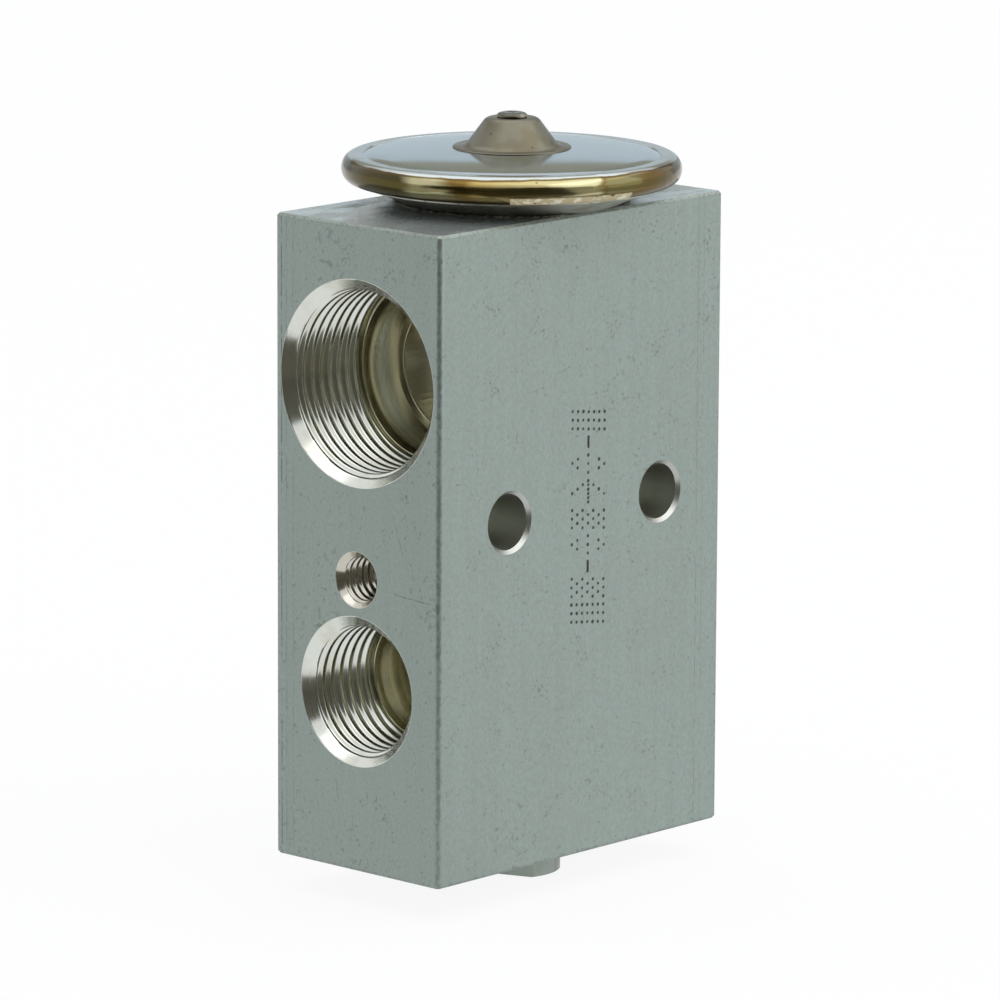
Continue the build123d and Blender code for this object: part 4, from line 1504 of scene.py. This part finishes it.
# ---------------------------------------------------------------- power head
@dataclass
class PowerHead:
    """The welded head: covers, rim weld, charging cap and sealing compound, in millimetres."""

    steps: int = 256
    seam_lap: float = 0.55
    seam_depth: float = 0.3
    seam_groove: float = 0.12
    lip_width: float = 0.1
    bead_waist: float = 0.5
    bead_reach: float = 1.4
    bead_tuck: float = 1.2
    ripple_rate: float = 34.0
    ripple_depth: float = 0.018
    overlap_turn: float = -106.0
    crown_rise: float = 0.8
    crown_power: float = 3.0
    crown_shoulder: float = 13.1
    crown_walls: Point = (0.9, 0.7)
    charge_hole: float = 0.9
    recess_radius: float = 14.0
    recess_floor: float = 79.4
    neck_bore: float = 6.8
    neck_radius: float = 9.0
    base_radius: float = 12.6
    base_rise: float = 1.9
    base_bulge: float = 0.1
    cap_flange: float = 6.75
    cap_flange_height: float = 0.14
    cap_bores: Point = (5.0, 2.6)
    cap_wall: float = 0.8
    cap_waist: float = 5.4
    cap_crown: float = 2.95
    cap_foot_fillet: float = 1.3
    cap_top_fillet: float = 1.0
    plug_shank: Point = (0.88, 1.2)
    plug_dish: float = 0.06
    compound: Point = (12.5, 13.6)
    compound_share: float = 0.6
    residue_turns: Point = (-138.0, -93.0)
    residue_top: float = 81.15
    residue_fall: float = 0.5

    def axis(self) -> Place:
        """Give a point on the stem axis, level with the diaphragm, in metres."""
        return (stem_x() * MM, 0.0, low("upper_cover").z * MM)

    def rim_radius(self) -> float:
        """Give the rim weld's widest radius."""
        return (high("rim_weld").x - low("rim_weld").x) / 2

    def cover_radius(self) -> float:
        """Give both covers' radius."""
        return (high("upper_cover").x - low("upper_cover").x) / 2

    def build(self) -> None:
        """Build every piece of the head that shows."""
        self.upper_cover()
        self.rim_weld()
        self.lower_cover()
        self.charging_cap()
        self.charge_plug()
        self.sealing_compound()
        self.residue()

    def upper_cover(self) -> None:
        """Build the polished, slightly domed upper cover."""
        cover, hole = self.cover_radius(), self.charge_hole
        seam = cover - self.seam_lap
        seam_level = low("upper_cover").z
        lap_level = high("rim_weld").z - self.seam_depth
        crest, rise = high("upper_cover").z, self.crown_rise
        middle_wall, shoulder_wall = self.crown_walls
        radii = [hole + (seam - hole) * i / 24 for i in range(25)]
        top = [(radius, crest - rise * (radius / seam) ** self.crown_power) for radius in radii]
        top[-1] = (seam, high("rim_weld").z - self.seam_groove)
        inside = [
            (seam, lap_level),
            (cover, lap_level),
            (cover, seam_level),
            (self.recess_radius, seam_level),
            (self.crown_shoulder, crest - rise - shoulder_wall),
            (hole, top[0][1] - middle_wall),
        ]
        finish = Polished("polished_cover", (0.42, 0.495, 0.54), 0.10, centre=self.axis())
        bm = spun(top + inside, self.steps)
        piece = piece_from("crown_cover", bm, [finish], "valve_body")
        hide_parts("upper_cover")

    def bead_side(self, start: float, end: float, count: int, grow: float = 0.0) -> list[Point]:
        """Give points down the bead's outside, half an ellipse above its waist and half below.

        Args:
            start: The first point's direction, in degrees from outward, upwards positive.
            end: The last point's direction.
            count: How many points.
            grow: How far outside the bead they lie.

        Returns:
            The points, as (radius, level).
        """
        waist = low("upper_cover").z - self.bead_waist
        points = []
        for i in range(count):
            turn = math.radians(start + (end - start) * i / (count - 1))
            reach, rise = self.bead_tuck, waist - low("rim_weld").z
            if turn > 0:
                reach, rise = self.bead_reach, high("rim_weld").z - waist
            radius = self.rim_radius() - reach + (reach + grow) * math.cos(turn)
            points.append((radius, waist + (rise + grow) * math.sin(turn)))
        return points

    def bead_dip(self, turn: float, level: float) -> float:
        """Give how deep the bead's ripples and the end of its run are at a point.

        Args:
            turn: The point's direction from the axis, in radians.
            level: The point's level.

        Returns:
            The depth.
        """
        x, y = math.cos(turn) * self.ripple_rate, math.sin(turn) * self.ripple_rate
        ripple = noise.noise(Vector((x, y, level * 0.5)))
        away = math.remainder(turn - math.radians(self.overlap_turn), math.tau) * self.rim_radius()
        notch = 0.07 * math.exp(-((away / 0.35) ** 2))
        step = 0.03 / (1 + math.exp(-6 * away))
        return self.ripple_depth * (1 + ripple) + notch + step

    def rim_weld(self) -> None:
        """Build the bead, its ripples and the place where the run overlaps its start."""
        top = high("rim_weld").z
        cover = self.cover_radius()
        seam = cover - self.seam_lap
        lap_level = top - self.seam_depth
        lip = [(seam, top - self.seam_groove), (seam + self.lip_width, top)]
        inside = [(cover, low("rim_weld").z), (cover, lap_level), (seam, lap_level)]
        bm = spun(lip + self.bead_side(90.0, -90.0, 32) + inside, self.steps)
        for vert in bm.verts:
            radius, turn, outward = about_stem(vert)
            if radius > (cover + 0.2) * MM and vert.co.z < (top - 0.05) * MM:
                vert.co -= outward * self.bead_dip(turn, vert.co.z / MM) * MM
        # The bead's tints carry painted highlights, painted dark reflections and painted shade.
        finish = WeldTintAndPaintedReflection("bead_tint_painted_reflection", (0.065, 0.055, 0.024), 0.13, centre=self.axis())
        piece = piece_from("weld_bead", bm, [finish], "valve_body")
        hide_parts("rim_weld")

    def lower_cover(self) -> None:
        """Build the lower cover: its neck, its flat base and its sloping underside."""
        base_level = high("valve_body").z
        neck_foot, support = low("lower_cover").z, high("lower_cover").z
        cover = self.cover_radius()
        slope = []
        for i in range(11):
            share = i / 10
            level = base_level + self.base_rise * share
            level += self.base_bulge * math.sin(math.pi * share)
            slope.append((self.base_radius + (cover - self.base_radius) * share, level))
        outline = [
            (self.neck_bore, neck_foot),
            (self.neck_radius, neck_foot),
            (self.neck_radius, base_level),
            *slope,
            (cover, support),
            (self.recess_radius, support),
            (self.recess_radius, self.recess_floor),
            (self.neck_bore, self.recess_floor),
        ]
        finish = Satin(
            "lower_cover_steel",
            (0.50, 0.49, 0.43),
            0.34,
            0.85,
            centre=self.axis(),
            stain=(0.17, 0.15, 0.10),
            stained=0.55,
        )
        bm = spun(outline, self.steps)
        piece = piece_from("base_cover", bm, [finish], "valve_body")
        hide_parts("lower_cover")

    def charging_cap(self) -> None:
        """Build the bell-shaped charging cap."""
        foot, crest = low("charging_cap").z, high("charging_cap").z
        flange_top = foot + self.cap_flange_height
        foot_bore, crest_bore = self.cap_bores
        outline = [
            (foot_bore, foot),
            (self.cap_flange, foot),
            (self.cap_flange, flange_top - 0.06),
            (self.cap_flange - 0.09, flange_top),
            *self.bell(flange_top, crest),
            (self.charge_hole, crest),
            (self.charge_hole, crest - self.cap_wall),
            (crest_bore, crest - self.cap_wall),
        ]
        finish = Satin(
            "cap_satin",
            (0.165, 0.157, 0.120),
            0.3,
            centre=self.axis(),
            stain=(0.12, 0.10, 0.055),
            stained=0.45,
        )
        bm = spun(outline, 160)
        piece = piece_from("bell_cap", bm, [finish], "valve_body", 50.0)
        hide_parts("charging_cap")

    def bell(self, foot: float, crest: float) -> list[Point]:
        """Give the bell's outside from its foot to its top, as (radius, level).

        Args:
            foot: The level of the foot's upper face.
            crest: The level of the flat top.

        Returns:
            The points, with both corners rounded.
        """
        waist, crown = self.cap_waist, self.cap_crown
        lean = math.atan2(crest - foot, waist - crown)
        lower_reach = self.cap_foot_fillet * math.tan(lean / 2)
        upper_reach = self.cap_top_fillet * math.tan(lean / 2)
        lower_centre = (waist + lower_reach, foot + self.cap_foot_fillet)
        upper_centre = (crown - upper_reach, crest - self.cap_top_fillet)
        side = 90 - math.degrees(lean)
        lower = arc(lower_centre, self.cap_foot_fillet, -90.0, -180.0 + side, 10)
        upper = arc(upper_centre, self.cap_top_fillet, side, 90.0, 10)
        return lower + upper

    def charge_plug(self) -> None:
        """Build the ball-like plug that closes the charging hole."""
        foot, crest = high("charging_cap").z, high("charge_plug").z
        widest = (high("charge_plug").x - low("charge_plug").x) / 2
        shank, length = self.plug_shank
        outline = [
            (0, foot - length),
            (shank, foot - length),
            (shank, foot),
            (widest - 0.1, foot),
            (widest, foot + 0.1),
            (widest - 0.02, foot + 0.3),
            (widest - 0.22, crest - 0.08),
            (widest - 0.5, crest),
            (0.55, crest),
            (0.3, crest - self.plug_dish),
            (0, crest - self.plug_dish),
        ]
        finish = Satin(
            "plug_satin",
            (0.10, 0.093, 0.07),
            0.22,
            centre=self.axis(),
            stain=(0.42, 0.40, 0.34),
            stained=0.8,
        )
        bm = spun(outline, 64)
        piece = piece_from("plug_head", bm, [finish], "valve_body", 50.0)
        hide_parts("charge_plug")

    def sealing_compound(self) -> None:
        """Build the ragged wedge of compound round the head's base."""
        level = high("valve_body").z
        inner, outer = self.compound
        top = level + self.compound_share * (high("sealing_compound").z - level)
        outline = [
            (inner, level),
            (outer, level),
            (outer - 0.05, level + 0.12),
            (outer - 0.4, top),
            (inner + 0.2, top),
        ]
        bm = spun(outline, 360)
        for vert in bm.verts:
            radius, turn, outward = about_stem(vert)
            if radius < (inner + 0.15) * MM:
                continue
            rag = ragged(Vector((math.cos(turn) * 22, math.sin(turn) * 22, 0)))
            vert.co += outward * min(0.0, 0.35 * rag - 0.2) * MM
            if vert.co.z > (level + 0.2) * MM:
                vert.co.z += min(0.0, 0.25 * rag - 0.05) * MM
        reach = high("sealing_compound").y * MM
        for side in (-1, 1):
            trim(bm, Vector((0, side * reach, 0)), (0, side, 0))
        bmesh.ops.holes_fill(bm, edges=[edge for edge in bm.edges if edge.is_boundary])
        finish = Moulded(
            "cured_compound", (0.035, 0.033, 0.024), 0.5, lump=0.00008, dusty=(0.21, 0.20, 0.155)
        )
        piece = piece_from("compound_bead", bm, [finish], "valve_body", 60.0)
        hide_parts("sealing_compound")

    def residue(self) -> None:
        """Build the thin strip of dried sealer left under part of the weld."""
        inner = self.bead_side(-80.0, -28.0, 12, -0.1)
        outer = self.bead_side(-28.0, -80.0, 12, 0.03)
        start, end = self.residue_turns
        bm = spun(inner + outer, 180, end - start, start)
        for vert in bm.verts:
            _, turn, outward = about_stem(vert)
            degrees, level = math.degrees(turn), vert.co.z / MM
            rag = ragged(Vector((degrees * 0.3, level * 1.2, 3.0)))
            share = (degrees - start) / (end - start)
            above = max(0.0, level - self.residue_top + self.residue_fall * share)
            vert.co -= outward * max(0.0, rag - 0.35 + 1.6 * above) * 0.4 * MM
        finish = Moulded("dried_sealer", (0.40, 0.33, 0.18), 0.4, dusty=(0.68, 0.64, 0.49))
        piece_from("sealer_residue", bm, [finish], "valve_body", 60.0)


# ---------------------------------------------------------------- works
@dataclass
class StemTrain:
    """The pieces inside the block and the head, in their CAD shapes, with the spring parted."""

    def build(self) -> None:
        """Dress each inner piece in its own metal or rubber."""
        centre = (stem_x() * MM, 0.0, 0.0)
        for node, name, colour, roughness, pitch, depth in (
            ("sensing_rod", "rod_turned", (0.72, 0.73, 0.72), 0.24, 0.00016, 0.000008),
            ("push_rod", "ground_steel", (0.55, 0.55, 0.54), 0.18, 0.00008, 0.000004),
            ("valve_ball", "ball_steel", (0.66, 0.66, 0.66), 0.06, 0.0004, 0.000002),
            ("valve_seat", "seat_brass", (0.70, 0.52, 0.22), 0.22, 0.00012, 0.000007),
            ("ball_carrier", "carrier_brass", (0.66, 0.50, 0.24), 0.3, 0.0002, 0.00001),
        ):
            dress(node, Turned(name, colour, roughness, centre=centre, pitch=pitch, depth=depth))
        wire, strip, plate = (
            Satin(name, colour, roughness, centre=centre, stain=stain, stained=stained)
            for name, colour, roughness, stain, stained in (
                ("spring_wire", (0.42, 0.42, 0.41), 0.3, (0.22, 0.2, 0.17), 0.4),
                ("spring_strip", (0.48, 0.47, 0.44), 0.26, (0.3, 0.27, 0.2), 0.3),
                ("support_plate", (0.58, 0.58, 0.57), 0.25, (0.4, 0.38, 0.33), 0.3),
            )
        )
        membrane = Polished("diaphragm_steel", (0.56, 0.57, 0.58), 0.12, centre=centre)
        rubber = Moulded(
            "ring_rubber", (0.012, 0.016, 0.013), 0.45, lump=0.000012, dusty=(0.03, 0.035, 0.03)
        )
        for node, finish in (
            ("antivibration_spring", strip),
            ("rod_seal_retainer", strip),
            ("diaphragm", membrane),
            ("diaphragm_support", plate),
            ("head_seal", rubber),
            ("rod_seal", rubber),
            ("adjusting_screw_seal", rubber),
        ):
            dress(node, finish)
        self.bias_spring(wire)

    def bias_spring(self, finish: Finish) -> None:
        """Part the spring at its middle into a foot piece and a top piece, which ride on no body.

        Args:
            finish: The wire's finish.
        """
        foot, crest = low("bias_spring").z, high("bias_spring").z
        middle = (foot + crest) / 2
        for name, first, second, start, end, outward in (
            ("spring_foot", "adjuster_carriage", "valve_body", foot, middle, 1),
            ("spring_top", "valve_body", "stem", middle, crest, -1),
        ):
            bm = merged_copy("bias_spring")
            trim(bm, Vector((0, 0, middle * MM)), (0, 0, outward))
            bmesh.ops.holes_fill(bm, edges=[edge for edge in bm.edges if edge.is_boundary])
            piece = piece_from(name, bm, [finish], "")
            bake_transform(piece)
            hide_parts("bias_spring")


@dataclass
class Adjuster:
    """The adjusting screw in the block's underside."""

    def build(self) -> None:
        """Build the screw from its CAD shape, smoothed, in turned aluminium."""
        finish = Turned(
            "screw_turned",
            (0.29, 0.335, 0.30),
            0.38,
            0.8,
            centre=(stem_x() * MM, 0.0, 0.0),
            pitch=0.00022,
            depth=0.00002,
            stain=(0.2, 0.21, 0.19),
            stained=0.5,
        )
        bm = merged_copy("adjusting_screw")
        piece = piece_from("screw_plug", bm, [finish], "adjuster", 30.0)
        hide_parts("adjusting_screw")


# ---------------------------------------------------------------- studio
@dataclass
class Studio:
    """The floor, the lamps, the flags and the camera, in metres."""

    azimuth: float = -47.382
    elevation: float = 11.191
    roll: float = 0.275
    distance: float = 0.8024
    rise: float = 0.002375
    focal_pixels: float = 7006.0
    frame_pixels: float = 1000.0
    sensor: float = 36.0
    aim_level: float = 0.04

    def build(self) -> None:
        """Set the whole stage."""
        bpy.context.scene.view_settings.view_transform = "Standard"
        self.camera()
        self.world()
        self.floor()
        self.lamps()

    def camera(self) -> None:
        """Aim a long lens at the block's middle from its front left."""
        azimuth, elevation = math.radians(self.azimuth), math.radians(self.elevation)
        back = Vector(
            (
                math.sin(azimuth) * math.cos(elevation),
                -math.cos(azimuth) * math.cos(elevation),
                math.sin(elevation),
            )
        )
        level_right = Vector((math.cos(azimuth), math.sin(azimuth), 0))
        level_up = back.cross(level_right)
        turn = Matrix.Rotation(math.radians(self.roll), 3, back)
        right, up = turn @ level_right, turn @ level_up
        lowest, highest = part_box("valve_body")
        target = (lowest + highest) / 2
        data = bpy.data.cameras.new("camera")
        data.lens = self.focal_pixels / self.frame_pixels * self.sensor
        data.sensor_width = self.sensor
        data.clip_start = 0.05
        data.clip_end = 50.0
        camera = placed("camera", data)
        facing = Matrix((right, up, back)).transposed().to_4x4()
        place = target + back * self.distance + up * self.rise
        camera.matrix_world = Matrix.Translation(place) @ facing
        bpy.context.scene.camera = camera

    def seen_white(self, g: Graph) -> bpy.types.NodeSocket:
        """Give a mask of the rays that show the background: camera, glossy and transmission."""
        path = g.add("LightPath")
        seen = g.math("MAXIMUM", path.outputs["Is Camera Ray"], path.outputs["Is Glossy Ray"])
        return g.math("MAXIMUM", seen, path.outputs["Is Transmission Ray"])

    def world(self) -> None:
        """Light the stage softly, and show plain white behind it."""
        world = bpy.data.worlds.new("studio")
        bpy.context.scene.world = world
        world.use_nodes = True
        g = Graph(world.node_tree)
        soft = g.add("Background", {"Color": (0.93, 0.96, 1.0), "Strength": 0.7})
        white = g.add("Background", {"Color": (1.0, 1.0, 1.0), "Strength": 1.0})
        mix = g.add("MixShader", {0: self.seen_white(g), 1: soft.outputs[0], 2: white.outputs[0]})
        g.output(mix, "OutputWorld")

    def floor(self) -> None:
        """Lay a pale floor that shows white where no shadow falls."""
        bm = bmesh.new()
        bmesh.ops.create_grid(bm, x_segments=1, y_segments=1, size=6.0)
        mesh = mesh_from("floor", bm)
        floor = placed("floor", mesh)
        material, g = blank_material("pale_floor")
        matt = g.add("BsdfDiffuse", {"Color": (0.86, 0.86, 0.86)})
        white = g.add("Emission", {"Color": (1.0, 1.0, 1.0), "Strength": 1.0})
        share = g.math("MULTIPLY", self.seen_white(g), 0.9)
        mix = g.add("MixShader", {0: share, 1: matt.outputs[0], 2: white.outputs[0]})
        g.output(mix)
        mesh.materials.append(material)

    def lamp(self, name: str, place: Vector, size: float, power: float) -> None:
        """Hang a soft white lamp that faces the object.

        Args:
            name: The lamp's name.
            place: Where it hangs.
            size: The side of its square.
            power: Its power in watts.
        """
        data = bpy.data.lights.new(name, "AREA")
        data.size = size
        data.energy = power
        lamp = placed(name, data)
        lamp.location = place
        back = place - Vector((0, 0, self.aim_level))
        lamp.rotation_euler = back.to_track_quat("Z", "Y").to_euler()

    def card(
        self, name: str, azimuth: float, rows: list[tuple[float, float, float]], tone: Colour
    ) -> None:
        """Stand a card that only polished surfaces show.

        Args:
            name: The card's name.
            azimuth: Its direction, 0 towards -Y and 90 towards +X, in degrees.
            rows: Its distance, level and width at each fold.
            tone: Its colour.
        """
        around = math.radians(azimuth)
        away = Vector((math.sin(around), -math.cos(around), 0))
        across = Vector((math.cos(around), math.sin(around), 0))
        bm = bmesh.new()
        chains = []
        for side in (-0.5, 0.5):
            corners = [
                bm.verts.new(away * distance + across * side * width + Vector((0, 0, level)))
                for distance, level, width in rows
            ]
            chains += [bm.edges.new(pair) for pair in zip(corners, corners[1:])]
        bmesh.ops.bridge_loops(bm, edges=chains)
        mesh = mesh_from(name, bm)
        material, g = blank_material(name)
        g.output(g.add("BsdfDiffuse", {"Color": tone}))
        mesh.materials.append(material)
        card = placed(name, mesh)
        card.visible_camera = False
        card.visible_diffuse = False
        card.visible_shadow = False

    def lamps(self) -> None:
        """Hang two soft lamps and stand the cards."""
        self.lamp("overhead", Vector((0.1, -0.1, 1.4)), 2.4, 14.0)
        self.lamp("front_fill", Vector((0.5, -1.3, 0.7)), 1.8, 8.0)
        dark = [(0.09, 0.001, 0.2), (1.7, 0.001, 2.8), (1.7, 0.002, 6.0), (1.7, 1.08, 6.0)]
        grey = [(1.8, 0.001, 3.2), (1.8, 0.58, 3.2)]
        tan = [(1.8, 0.58, 2.2), (1.8, 1.2, 2.2)]
        behind = self.azimuth + 180.0
        self.card("dark_card", self.azimuth, dark, (0.105, 0.097, 0.075))
        self.card("grey_card", behind, grey, (0.68, 0.75, 0.78))
        self.card("tan_card", behind, tan, (0.43, 0.40, 0.30))


def main() -> None:
    """Build every sub-assembly, then the stage."""
    logging.basicConfig(level=logging.INFO, format="%(name)s %(message)s")
    ValveBlock().build()
    PowerHead().build()
    StemTrain().build()
    Adjuster().build()
    Studio().build()


if __name__ == "__main__":
    main()
